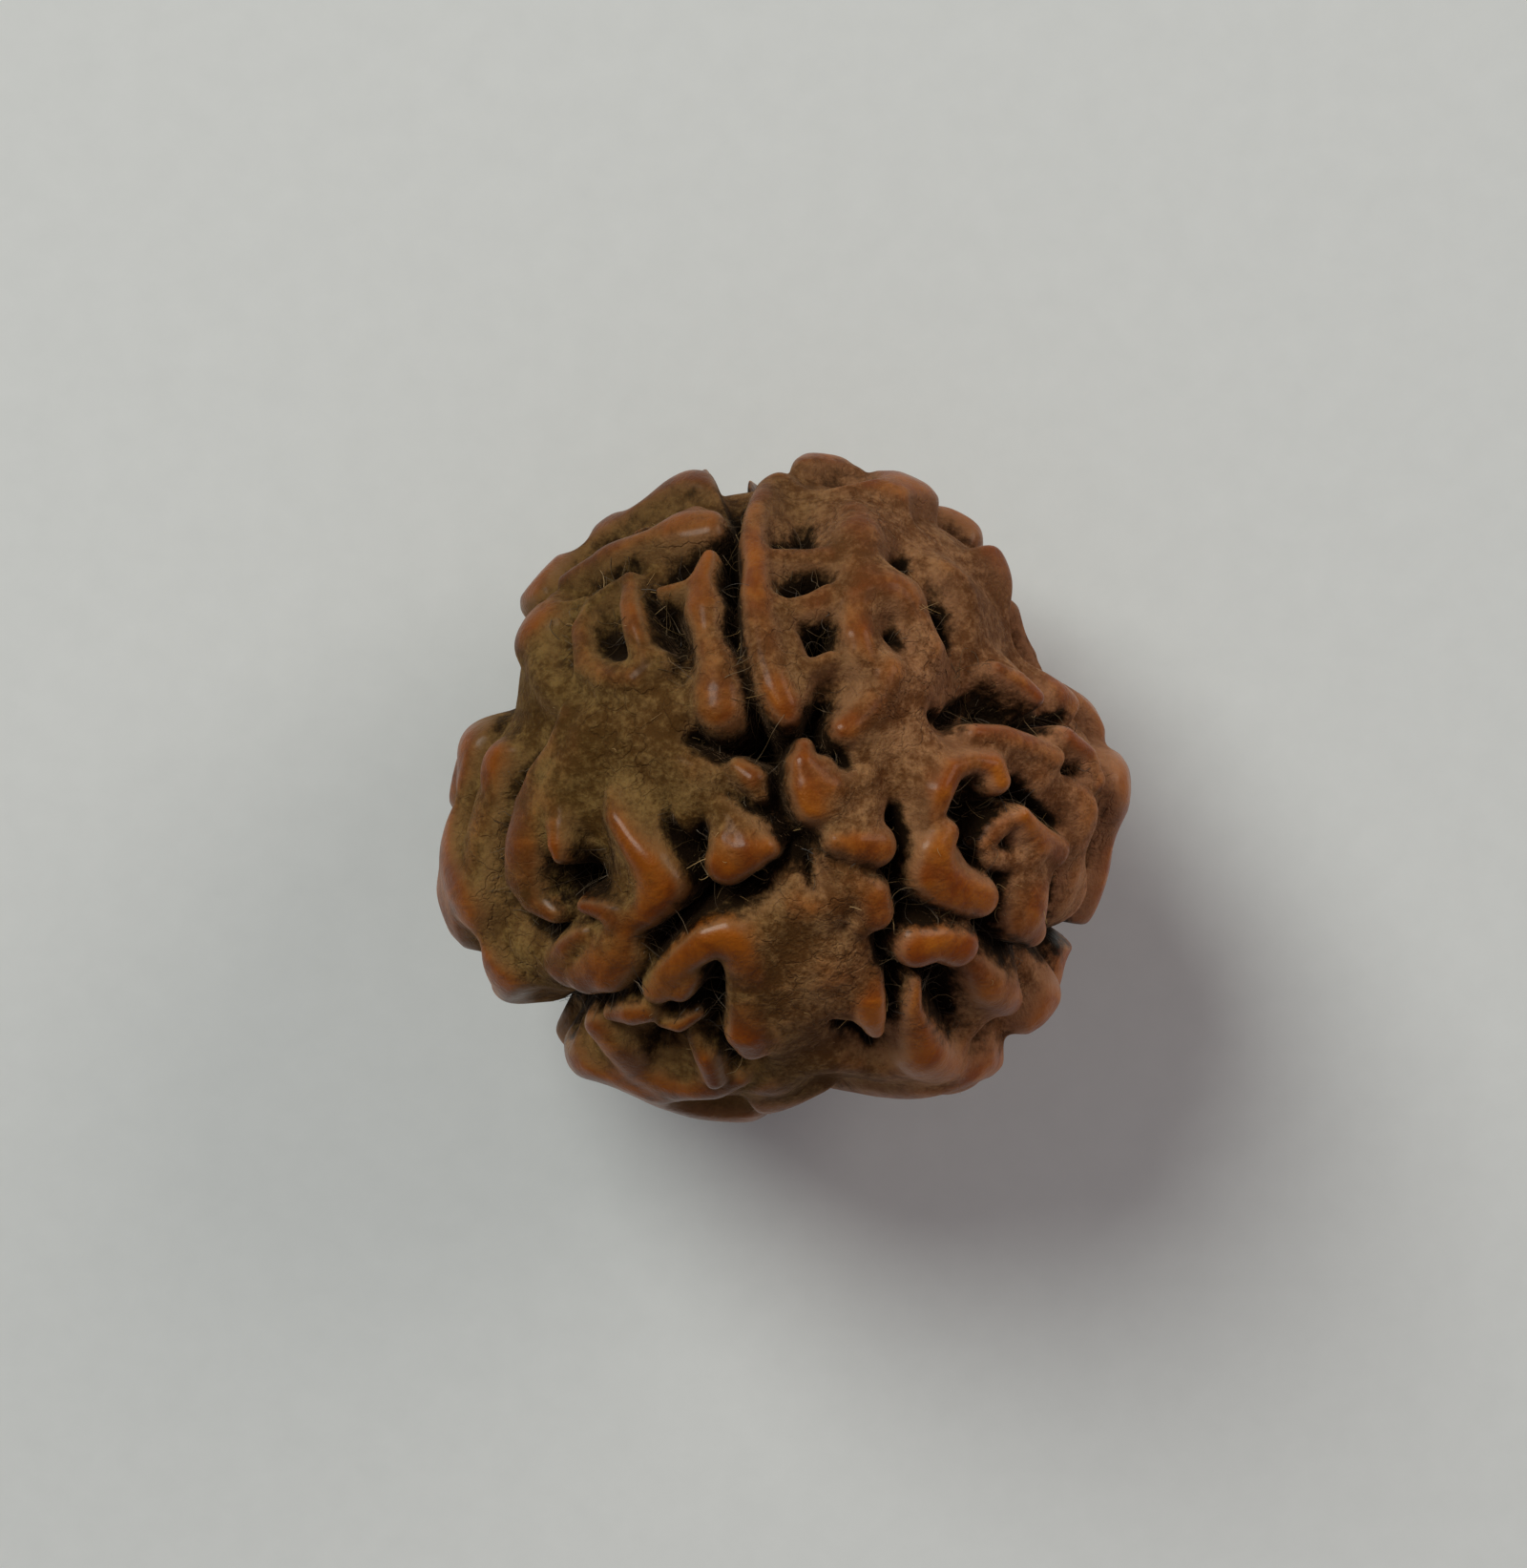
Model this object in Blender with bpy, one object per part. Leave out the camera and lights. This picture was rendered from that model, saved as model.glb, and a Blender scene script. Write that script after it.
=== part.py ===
"""A rudraksha seed: the hard woody stone of a fruit, grown as one piece.

The seed stands on the small flat scar where its stalk grew, with its crown up. Its form is one
sphere, pushed out to a three-lobed body and then raised into ridges and knobs and sunk into clefts
and pits. The crown is laid out by hand; round the flank and underneath, the same kind of net comes
from a formula. Run it with Blender 4.5: it leaves one mesh object, in metres, with +Z up.
"""

import bpy
import numpy as np

OBJECT_NAME = "rudraksha_seed"
MM = 0.001
SPHERE_STEPS = 7
ROUNDING_FACTOR = 0.5
ROUNDING_PASSES = 3
FINE_TRIANGLES = 20 * 4 ** (SPHERE_STEPS - 1)
KEPT_TRIANGLES = 11400
WOOD_COLOUR = (0.17, 0.075, 0.03, 1.0)
WOOD_ROUGHNESS = 0.5

# All lengths here are millimetres. The crown is laid out flat, as on a map seen from above: x runs to
# the right and y away, both measured along the surface from the pole.
POLE_RADIUS = 10.8
CROWN_RADIUS = 10.9
MAP_RADIUS = 11.0
SCAR_DEPTH = 10.2
SCAR_RADIUS = 3.1
TINY = 1e-9

# Azimuth in degrees and half-width of the seed there.
RIM = (
    (2, 12.2), (33, 10.95), (55, 11.9), (75, 12.0), (98, 11.95), (122, 11.5), (148, 11.45),
    (172, 11.5), (198, 12.6), (225, 12.45), (245, 12.0), (262, 11.7), (282, 11.6), (303, 12.55),
    (322, 12.25), (338, 11.9), (350, 11.85),
)

# Smooth valleys between the lobes on the flank: azimuth, half-width and depth.
VALLEYS = (
    (159.5, 1.1, 2.0),
    (30, 2.4, 0.8),
    (280, 2.2, 0.8),
)

# The three deep clefts on the flank: azimuth, sway in degrees, half-width and floor.
CLEFTS = (
    (98.5, 0.8, 0.60, -3.6),
    (225.5, -3.5, 0.6, -3.4),
    (331.0, 4.0, 0.5, -2.8),
)

# Hollows, slots and pits of the crown: runs of (x, y, floor, half-width).
HOLLOWS = (
    # First cleft, from the pole up to the rim
    (
        (0.0, 0.1, -1.5, 0.26), (-0.75, 0.8, -1.5, 0.24), (-0.9, 1.8, -1.6, 0.26),
        (-1.0, 2.7, -2.8, 0.38), (-1.5, 3.5, -4.2, 0.80), (-1.8, 4.5, -4.2, 0.75),
        (-2.1, 5.5, -4.2, 0.70), (-2.35, 6.6, -4.2, 0.65), (-2.45, 7.5, -4.2, 0.60),
        (-2.45, 8.8, -3.8, 0.55), (-2.6, 10.0, -3.0, 0.60), (-2.75, 11.2, -3.0, 0.60),
        (-2.5, 12.4, -3.4, 0.55), (-2.2, 13.6, -3.6, 0.60), (-2.3, 15.4, -3.6, 0.75),
    ),
    # Dark pool beside the first cleft
    ((-1.6, 3.45, -4.2, 0.65), (-2.7, 3.45, -3.4, 0.45), (-3.6, 3.5, -2.2, 0.35), (-4.2, 3.5, -1.2, 0.30)),
    # Second cleft, down to the left
    (
        (-0.3, -0.35, -1.6, 0.26), (-1.0, -1.15, -2.0, 0.32), (-1.7, -1.75, -3.4, 0.50),
        (-2.6, -2.15, -3.0, 0.50), (-3.4, -2.4, -3.4, 0.55), (-4.3, -3.1, -4.0, 0.70),
        (-5.0, -3.9, -4.2, 0.75), (-5.5, -4.8, -4.0, 0.70), (-6.1, -5.8, -4.0, 0.65),
        (-6.9, -6.7, -3.8, 0.60), (-7.8, -7.4, -3.5, 0.65), (-8.9, -8.3, -3.4, 0.70),
        (-10.3, -9.8, -3.4, 0.75), (-11.7, -11.7, -3.4, 0.75),
    ),
    # Third cleft, down to the right
    (
        (0.3, -0.3, -1.5, 0.26), (1.0, -0.8, -1.5, 0.26), (1.9, -1.2, -2.0, 0.32),
        (2.8, -1.5, -3.4, 0.40), (3.4, -1.8, -4.2, 0.55), (3.7, -2.6, -4.2, 0.60),
        (4.5, -3.1, -3.6, 0.55), (5.5, -3.35, -3.0, 0.50), (6.3, -3.75, -3.2, 0.50),
        (7.1, -3.9, -3.8, 0.55), (7.9, -4.4, -3.2, 0.50), (8.7, -5.1, -2.6, 0.45),
        (9.6, -5.4, -2.6, 0.45), (10.8, -5.9, -2.6, 0.55), (12.6, -6.9, -2.6, 0.60),
        (14.2, -7.8, -2.6, 0.60),
    ),
    # Slot beside the third cleft, up and down
    (
        (3.5, 1.2, -1.1, 0.40), (3.5, 0.5, -1.9, 0.40), (3.5, -0.3, -3.2, 0.42),
        (3.5, -1.2, -4.2, 0.45), (3.45, -2.6, -3.8, 0.50), (3.45, -3.6, -3.4, 0.45),
        (3.35, -4.6, -2.4, 0.40), (3.35, -5.3, -1.7, 0.35),
    ),
    # Creases between the knobs at the pole
    ((0.25, -0.5, -1.5, 0.24), (0.35, -1.2, -1.4, 0.25), (0.45, -1.8, -1.1, 0.28)),
    ((-0.5, 0.3, -1.4, 0.22), (-1.2, 0.75, -1.4, 0.22), (-2.0, 1.15, -1.2, 0.20), (-2.9, 1.6, -0.9, 0.20)),
    ((0.35, 3.8, -2.6, 0.35), (0.8, 3.1, -2.4, 0.34), (1.3, 2.75, -2.0, 0.30), (1.8, 2.4, -1.1, 0.25)),
    ((0.2, 4.2, -2.8, 0.35), (0.7, 4.7, -2.2, 0.50), (1.2, 4.95, -1.5, 0.35)),
    ((-5.1, 1.0, -1.0, 0.30), (-4.9, 0.2, -1.4, 0.35), (-4.3, -0.6, -1.9, 0.35), (-3.7, -1.2, -2.4, 0.35),
     (-3.3, -1.9, -3.0, 0.40)),
    ((-3.65, 0.5, -1.0, 0.28), (-3.65, -0.3, -1.9, 0.30), (-3.6, -1.0, -2.4, 0.30)),
    # Pits of the upper lobe
    ((-0.6, 11.7, -1.8, 0.58), (0.2, 11.6, -2.2, 0.70), (0.5, 12.4, -2.2, 0.64), (0.5, 13.1, -1.8, 0.48)),
    ((-0.5, 9.3, -1.8, 0.54), (0.2, 9.4, -2.2, 0.54), (0.75, 9.55, -2.5, 0.54)),
    ((0.4, 7.1, -3.2, 0.48), (0.9, 7.45, -3.6, 0.54), (1.35, 7.9, -3.2, 0.36)),
    ((0.35, 6.55, -1.5, 0.44), (0.5, 6.9, -2.4, 0.42)),
    ((3.75, 7.55, -1.8, 0.30), (4.15, 7.3, -2.0, 0.36)),
    ((4.65, 10.95, -2.2, 0.58), (4.9, 11.6, -1.3, 0.70)),
    ((5.9, 9.9, -1.3, 0.38), (6.4, 9.0, -2.2, 0.54), (6.35, 8.1, -3.0, 0.62), (6.55, 7.3, -1.8, 0.54)),
    ((1.5, 5.6, -1.0, 0.36), (1.9, 5.75, -1.0, 0.36)),
    # Pits of the upper left lobe
    ((-5.0, 10.6, -2.4, 0.58), (-4.3, 10.85, -2.2, 0.58)),
    ((-6.0, 9.7, -1.6, 0.36), (-5.7, 9.0, -2.4, 0.50), (-5.35, 8.4, -2.6, 0.54), (-5.0, 7.8, -2.8, 0.54)),
    ((-7.25, 8.5, -1.4, 0.42), (-7.2, 7.8, -2.4, 0.50)),
    ((-7.9, 8.6, -1.0, 0.70), (-7.8, 7.4, -1.0, 0.70)),
    ((-4.5, 6.4, -1.2, 0.64), (-4.6, 5.8, -1.1, 0.54)),
    ((-9.9, 9.2, -0.85, 0.48), (-10.0, 8.0, -0.85, 0.48), (-9.6, 6.8, -0.8, 0.42)),
    ((-9.2, 10.2, -1.2, 0.48), (-8.2, 10.6, -1.3, 0.50), (-7.2, 11.0, -1.2, 0.48)),
    ((-11.2, 12.2, -1.3, 0.42), (-8.6, 12.9, -1.4, 0.42), (-6.3, 13.2, -1.4, 0.42),
     (-5.2, 13.9, -1.4, 0.42)),
    # Valley between the upper and the right lobe
    ((5.6, 4.5, -2.2, 0.30), (5.75, 4.1, -1.6, 0.28)),
    ((6.4, 4.3, -2.4, 0.50), (7.1, 4.75, -2.8, 0.70), (7.8, 5.2, -2.4, 0.70), (8.5, 5.5, -1.8, 0.55)),
    ((7.9, 4.5, -2.2, 0.45), (8.8, 4.7, -2.4, 0.55), (9.5, 4.5, -2.0, 0.50)),
    ((10.4, 3.9, -2.4, 0.50), (11.2, 4.05, -2.8, 0.60), (12.3, 4.1, -2.4, 0.55), (13.6, 4.2, -2.0, 0.50)),
    ((6.6, 5.9, -1.2, 0.50), (7.4, 6.6, -1.3, 0.60), (8.4, 7.0, -1.3, 0.50)),
    # Pits of the right lobe
    ((6.1, 0.9, -1.8, 0.54), (6.3, 1.5, -1.5, 0.54), (6.9, 1.5, -1.2, 0.36)),
    ((5.8, 0.45, -2.0, 0.42), (6.7, 0.4, -2.6, 0.48), (7.5, 0.75, -2.8, 0.42), (8.3, 1.05, -3.2, 0.48),
     (8.9, 1.3, -2.4, 0.58), (9.5, 0.55, -2.2, 0.54), (10.2, -0.05, -2.2, 0.48), (10.9, -0.4, -1.6, 0.48)),
    ((7.95, -0.8, -2.4, 0.40), (8.3, -0.75, -1.8, 0.30)),
    ((6.55, -0.4, -1.6, 0.44), (7.1, -1.3, -2.4, 0.48), (7.8, -1.9, -2.8, 0.54)),
    ((7.8, -2.4, -2.2, 0.42), (8.0, -3.1, -1.8, 0.42), (8.0, -3.8, -1.6, 0.42)),
    ((11.9, 1.9, -1.6, 0.34), (12.7, 1.7, -1.6, 0.30)),
    ((11.6, -2.6, -1.4, 0.36), (11.3, -3.8, -2.0, 0.48), (10.9, -5.0, -2.6, 0.48)),
    # Pits below the third cleft
    ((5.2, -5.9, -3.0, 0.58), (5.7, -6.4, -3.6, 0.64), (6.1, -7.4, -2.8, 0.50), (6.5, -8.3, -2.2, 0.42),
     (6.8, -9.0, -1.4, 0.36)),
    ((3.9, -5.8, -2.6, 0.40), (3.9, -6.6, -3.0, 0.50), (3.8, -7.5, -2.2, 0.40)),
    ((10.3, -6.9, -1.2, 0.36), (10.2, -8.2, -1.3, 0.38), (9.4, -9.4, -1.3, 0.38),
     (8.3, -10.2, -1.3, 0.36)),
    # Pits of the left lobe
    ((-9.8, -2.6, -2.6, 0.55), (-9.2, -2.5, -3.6, 0.75), (-8.5, -2.6, -2.8, 0.62)),
    ((-8.3, -0.8, -1.3, 0.70), (-8.2, -1.5, -1.6, 0.70)),
    ((-10.4, 3.9, -1.4, 0.48), (-11.0, 2.8, -1.6, 0.54), (-12.0, 1.5, -2.6, 0.64),
     (-12.5, 0.6, -2.4, 0.58),
     (-12.6, -0.6, -1.6, 0.48), (-12.7, -2.0, -1.5, 0.42), (-12.6, -3.4, -1.6, 0.42),
     (-11.6, -4.4, -2.0, 0.50),
     (-10.3, -4.65, -2.4, 0.54), (-9.4, -4.6, -2.2, 0.48)),
    # Pits of the lower lobe
    ((-3.3, -5.7, -2.2, 0.54), (-2.9, -6.2, -2.6, 0.58), (-3.2, -7.2, -2.6, 0.74),
     (-3.3, -8.0, -2.2, 0.58)),
    ((-5.8, -7.2, -1.5, 0.26), (-4.7, -7.25, -1.8, 0.30), (-3.9, -7.2, -2.0, 0.36)),
    ((-4.65, -9.1, -3.2, 0.66), (-5.3, -9.5, -3.0, 0.68), (-5.8, -10.2, -2.0, 0.52)),
    ((-2.5, -9.3, -2.4, 0.40), (-2.35, -10.2, -2.8, 0.46), (-2.35, -11.0, -2.2, 0.42)),
    ((-1.9, -9.8, -2.2, 0.34),),
    ((1.6, -8.2, -1.4, 0.36), (2.4, -8.6, -2.2, 0.48), (3.2, -9.1, -2.8, 0.58), (3.6, -9.7, -2.2, 0.48)),
    ((1.6, -3.5, -0.95, 0.42),),
)

# Ridges and knobs of the crown: runs of (x, y, crest height, half-width).
RIDGES = (
    # Star of knobs at the pole
    ((0.1, 3.1, -0.25, 0.45), (0.05, 2.5, 0.0, 0.62), (0.18, 1.75, 0.05, 0.80), (0.3, 1.0, 0.0, 0.66)),
    ((0.75, 2.3, -0.15, 0.60), (1.0, 1.7, -0.1, 0.75), (0.9, 1.15, -0.2, 0.65)),
    ((1.3, 1.8, -0.5, 0.60), (2.3, 1.9, -0.6, 0.60)),
    ((-1.2, -0.45, -0.1, 0.50), (-1.9, -0.65, 0.05, 0.70), (-2.65, -1.05, 0.0, 0.82)),
    ((-2.75, -0.35, -0.15, 0.64), (-2.65, -1.05, -0.05, 0.66)),
    ((-2.2, 0.1, -0.45, 0.55), (-2.7, 0.9, -0.6, 0.60)),
    ((1.15, -0.25, 0.0, 0.48), (1.9, -0.4, 0.05, 0.68), (2.65, -0.45, 0.0, 0.80)),
    ((2.3, 0.1, -0.35, 0.60), (2.4, 0.9, -0.6, 0.70)),
    ((-0.2, -0.8, -1.4, 0.25), (-0.6, -1.3, -1.0, 0.42), (-0.9, -1.65, -1.05, 0.48)),
    ((1.0, -0.95, -0.6, 0.35), (1.8, -1.55, -0.2, 0.62), (2.55, -2.2, 0.0, 0.72), (2.7, -2.9, -0.05, 0.76),
     (2.3, -3.4, -0.3, 0.60)),
    ((1.5, -2.3, -0.45, 0.80), (1.3, -3.0, -0.6, 0.80)),
    ((-2.3, 2.35, -0.5, 0.55), (-1.75, 1.95, -0.35, 0.62), (-1.5, 1.5, -0.5, 0.45)),
    # Upper lobe: the long ridge beside the first cleft, its cross bars and the second ridge
    ((-0.9, 15.4, -0.6, 0.80), (-1.2, 14.0, -0.4, 0.75), (-1.55, 12.8, -0.3, 0.65),
     (-1.7, 11.4, -0.2, 0.64), (-1.55, 10.0, -0.1, 0.62), (-1.6, 8.9, 0.0, 0.68),
     (-1.45, 7.5, 0.05, 0.72), (-1.25, 6.3, 0.05, 0.78), (-0.95, 5.3, 0.05, 0.78),
     (-0.6, 4.6, 0.0, 0.68), (-0.5, 4.3, -0.1, 0.56)),
    ((-0.5, 7.2, -0.5, 0.70), (-0.1, 5.8, -0.4, 0.75), (0.0, 5.0, -0.45, 0.45)),
    ((-1.2, 8.7, -0.3, 0.55), (-0.4, 8.3, -0.35, 0.60), (0.5, 8.45, -0.25, 0.60), (1.3, 8.8, -0.25, 0.70)),
    ((-1.4, 10.6, -0.4, 0.58), (-0.4, 10.6, -0.42, 0.60), (0.6, 10.55, -0.4, 0.60),
     (1.4, 10.6, -0.35, 0.70)),
    ((-0.9, 6.2, -0.3, 0.55), (0.2, 5.95, -0.35, 0.45), (1.2, 6.4, -0.4, 0.45)),
    ((2.8, 12.8, -0.4, 0.80), (2.75, 11.4, -0.1, 1.15), (2.5, 10.2, -0.15, 1.00), (2.3, 9.2, -0.15, 0.88),
     (2.15, 8.2, -0.15, 0.72), (2.15, 7.2, -0.05, 0.70), (2.4, 6.3, -0.3, 0.70)),
    ((3.3, 9.8, -0.3, 0.90), (4.3, 9.0, -0.35, 0.95), (4.7, 7.9, -0.35, 0.90), (5.2, 6.9, -0.45, 0.80)),
    ((1.55, 3.7, -0.1, 0.64), (2.3, 4.3, -0.25, 0.75), (2.9, 5.0, -0.3, 0.75), (3.3, 5.8, -0.2, 0.68)),
    # Upper left lobe: the tooth beside the first cleft and the ring
    ((-3.45, 10.6, -0.2, 0.50), (-3.75, 9.55, -0.1, 0.62), (-3.6, 8.4, 0.0, 0.85),
     (-3.45, 7.3, -0.15, 0.66),
     (-3.05, 6.1, 0.0, 0.80), (-3.0, 5.1, 0.1, 0.95), (-3.0, 4.6, 0.05, 0.98)),
    ((-3.8, 9.4, -0.2, 0.45), (-4.65, 9.4, -0.3, 0.42), (-5.55, 9.4, -0.4, 0.36)),
    ((-6.85, 9.9, -0.25, 0.55), (-6.7, 8.7, -0.1, 0.60), (-6.4, 7.7, -0.1, 0.62),
     (-6.1, 6.8, -0.25, 0.65)),
    ((-6.9, 10.1, -0.3, 0.45), (-7.9, 9.8, -0.4, 0.50), (-8.8, 9.2, -0.4, 0.55), (-9.0, 7.95, -0.25, 0.65),
     (-8.6, 6.5, -0.3, 0.70), (-7.6, 5.8, -0.3, 0.70), (-6.4, 5.8, -0.3, 0.80), (-5.5, 6.4, -0.35, 0.65)),
    ((-11.2, 9.8, -0.4, 0.80), (-11.6, 8.2, -0.35, 1.00), (-11.2, 6.6, -0.4, 1.00),
     (-10.4, 5.4, -0.5, 0.80)),
    ((-11.0, 11.0, -0.35, 0.50), (-8.4, 11.7, -0.2, 0.55), (-6.2, 12.0, -0.15, 0.60),
     (-4.8, 12.3, -0.1, 0.85),
     (-3.6, 12.4, -0.15, 0.85)),
    # Left lobe: the curved ridge, the big knob and the rim
    ((-7.1, 1.3, -0.5, 0.35), (-6.75, 0.4, -0.15, 0.50), (-6.0, -0.45, -0.05, 0.60),
     (-5.3, -1.15, 0.05, 0.75),
     (-4.95, -1.9, 0.1, 0.90), (-5.2, -2.4, 0.05, 0.85)),
    ((-8.0, -3.05, -0.2, 0.45), (-7.1, -3.1, -0.05, 0.55), (-6.2, -3.35, 0.0, 0.70),
     (-5.6, -3.0, 0.0, 0.70)),
    ((-6.5, -3.9, 0.0, 0.80), (-6.75, -4.8, 0.05, 1.05), (-7.3, -5.6, 0.05, 1.10),
     (-8.1, -6.1, -0.1, 0.95),
     (-9.0, -6.3, -0.35, 0.85)),
    ((-8.2, -4.3, -0.25, 0.50), (-8.9, -5.0, -0.2, 0.60), (-9.4, -5.9, -0.4, 0.80)),
    ((-9.5, 0.7, -0.45, 0.60), (-9.25, -0.1, -0.15, 0.60), (-9.1, -0.8, -0.05, 0.52),
     (-9.05, -1.3, -0.2, 0.40)),
    ((-9.3, 4.4, -0.45, 0.50), (-9.9, 3.0, -0.45, 0.50), (-10.8, 1.8, -0.4, 0.55),
     (-11.0, 0.5, -0.3, 0.95),
     (-10.9, -0.9, -0.2, 1.05), (-10.8, -2.3, -0.25, 0.95), (-10.4, -3.3, -0.35, 0.70),
     (-9.5, -3.75, -0.4, 0.50)),
    ((-13.4, 2.2, -0.55, 0.80), (-14.0, 0.4, -0.5, 1.00), (-14.1, -1.6, -0.5, 1.00),
     (-13.7, -3.4, -0.55, 0.80)),
    ((-8.3, 4.0, -0.5, 0.90), (-9.0, 2.6, -0.45, 1.10), (-9.9, 1.3, -0.42, 1.10), (-10.3, 0.0, -0.4, 0.90)),
    # Lower lobe: the bent ridge, the hanging tooth and the swellings
    ((-5.25, -6.25, -0.1, 0.72), (-4.8, -5.4, 0.0, 0.70), (-4.15, -4.65, 0.05, 0.70),
     (-3.35, -3.95, 0.1, 0.78),
     (-2.6, -3.7, 0.0, 0.78)),
    ((-4.4, -6.25, -0.15, 0.58), (-3.95, -5.5, -0.15, 0.50)),
    ((-2.3, -4.2, -0.1, 0.75), (-2.0, -5.1, -0.15, 0.80), (-1.9, -6.2, -0.25, 0.85),
     (-1.9, -7.3, -0.15, 0.85),
     (-1.95, -8.1, 0.0, 0.85), (-1.7, -8.9, -0.15, 0.75)),
    ((-3.9, -8.2, -1.0, 0.50), (-3.9, -8.9, -0.5, 0.60), (-3.5, -9.7, -0.2, 0.62),
     (-3.1, -10.9, -0.05, 0.50)),
    ((-7.3, -7.9, -0.4, 0.50), (-6.3, -7.5, -0.1, 0.68), (-5.7, -7.3, -0.1, 0.60)),
    ((-5.2, -7.9, -0.35, 0.42), (-4.5, -7.85, -0.2, 0.50), (-3.8, -7.4, -0.4, 0.42)),
    ((-8.0, -8.9, -0.4, 0.80), (-7.1, -10.2, -0.35, 0.90), (-6.5, -11.6, -0.35, 0.80),
     (-5.1, -12.4, -0.3, 0.80),
     (-3.2, -12.0, -0.3, 0.70), (-2.2, -11.3, -0.35, 0.60)),
    ((2.9, -5.5, -0.5, 0.50), (2.8, -6.6, -0.15, 0.65), (2.9, -7.5, -0.15, 0.65),
     (3.1, -8.1, -0.25, 0.50)),
    # Right lobe: the claw, the fat bent knob, the spur and the finger
    ((4.9, 0.5, -0.25, 0.50), (5.1, 1.4, 0.0, 0.56), (5.6, 2.2, -0.05, 0.54), (6.5, 2.45, -0.1, 0.50),
     (7.3, 2.25, 0.0, 0.60), (7.5, 1.7, 0.0, 0.62)),
    ((5.3, -0.1, -0.05, 0.60), (4.85, -0.8, 0.05, 0.80), (4.75, -1.5, 0.1, 0.90), (5.3, -2.05, 0.05, 0.90),
     (6.1, -2.4, 0.05, 0.90), (6.9, -2.75, 0.0, 0.85)),
    ((8.5, 0.35, -0.05, 0.45), (9.1, -0.3, -0.15, 0.60), (9.9, -0.9, -0.25, 0.70),
     (10.9, -1.5, -0.3, 0.75)),
    ((8.3, 0.2, -0.3, 0.50), (7.7, -0.2, -0.4, 0.60), (7.3, -0.75, -0.5, 0.55)),
    ((7.5, -1.35, -0.5, 0.55), (8.4, -1.5, -0.4, 0.65), (9.3, -1.3, -0.3, 0.75)),
    ((8.8, -0.5, -0.35, 0.55), (9.6, -1.0, -0.3, 0.70)),
    ((9.1, -1.9, -0.3, 0.80), (9.2, -3.0, -0.15, 1.15), (9.3, -4.0, -0.1, 1.15), (9.9, -4.8, -0.2, 0.80)),
    ((8.6, 6.3, -0.4, 0.50), (9.7, 5.8, -0.3, 0.60), (10.7, 5.1, -0.3, 0.55)),
    ((7.0, 3.6, -0.4, 0.50), (8.4, 3.4, -0.3, 0.60), (9.6, 3.0, -0.35, 0.65), (10.9, 2.5, -0.4, 0.60)),
    ((12.0, 3.3, -0.35, 0.60), (13.0, 2.4, -0.35, 0.60), (13.4, 1.2, -0.4, 0.60)),
    # Knobs below the third cleft
    ((4.4, -4.3, 0.1, 0.92), (5.2, -4.25, 0.05, 0.82), (6.05, -4.55, 0.05, 0.92)),
    ((7.1, -5.8, -0.3, 0.65), (7.8, -6.7, -0.2, 0.90), (8.6, -7.4, -0.25, 0.90), (9.4, -8.2, -0.35, 0.80)),
    ((4.65, -6.1, -0.6, 0.40), (4.55, -7.3, -0.4, 0.55), (4.9, -8.6, -0.3, 0.90), (5.3, -9.7, -0.1, 1.15),
     (6.1, -10.6, -0.2, 1.10), (6.9, -11.1, -0.4, 0.90)),
)

# Between the ridges the crown lies a little below the body, in slow and quick swells.
PLATEAU = -0.62
SLOW_SWELL = 0.15
SLOW_SCALE = 0.35
SLOW_SHIFT = 40.0
QUICK_SWELL = 0.12
QUICK_SCALE = 1.25
QUICK_SHIFT = 80.0

# The net of the flank and the underside: how far out from the pole it takes over, how long its waves
# are, how deep its grooves are and how much its wall tops dip.
NET_FROM = 12.6
NET_FULL = 14.6
NET_WAVER = 0.5
NET_SHALLOW = 0.42
NET_DEEPER = 15.8
NET_DEEP = 20.5
NET_WAVE = 3.3
NET_WAVES = 40
NET_SEED = 26
NET_FLOOR = -2.0
GROOVE_LOW = -0.85
GROOVE_HIGH = 0.25
TOP_DIP = 0.4
TOP_LOW = 0.1
TOP_HIGH = 1.4

# A ridge has a rounded top, and a soft shoulder and a wide apron where nothing is cut away beside it.
APRON_DROP = 0.30
APRON_FALL = 0.065
APRON_REACH = 4.2
APRON_BLEND = 0.30
SHOULDER_DROP = 1.35
SHOULDER_SPREAD = 1.75
SHOULDER_POWER = 2.2
SHOULDER_REACH = 3.6
SHOULDER_BLEND = 0.40
TOP_LOWER = 0.06
TOP_ROUNDING = 0.30
TOP_SIDE = 0.22
TOP_REACH = 2.1
TOP_BLEND = 0.35

# A hollow has a soft bowl round it and steep walls.
BOWL_SHARE = 0.36
BOWL_SPREAD = 1.9
BOWL_REACH = 4.0
WALL_HEIGHT = 0.3
WALL_LIMIT = 3.0
WALL_REACH = 1.5
WALL_BLEND = 0.35

# How far out from the pole the valleys and clefts of the flank start and end.
VALLEY_FROM = 10.0
VALLEY_FULL = 15.0
CLEFT_FROM = 14.0
CLEFT_FULL = 15.4
CLEFT_FADE = 28.5
CLEFT_END = 31.5
CLEFT_BEND = 0.45
CLEFT_LIFT = 6.0

# The scar's rim rounds off over this width; only the lower part of the seed is cut level with it.
SCAR_EDGE = 1.4
LOWER_PART = 0.2


def smooth_step(low, high, value):
    share = np.clip((value - low) / (high - low), 0.0, 1.0)
    return share * share * (3.0 - 2.0 * share)


def smooth_max(first, second, blend):
    share = np.clip(0.5 + 0.5 * (first - second) / blend, 0.0, 1.0)
    return second + (first - second) * share + blend * share * (1.0 - share)


def smooth_min(first, second, blend):
    return -smooth_max(-first, -second, blend)


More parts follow.
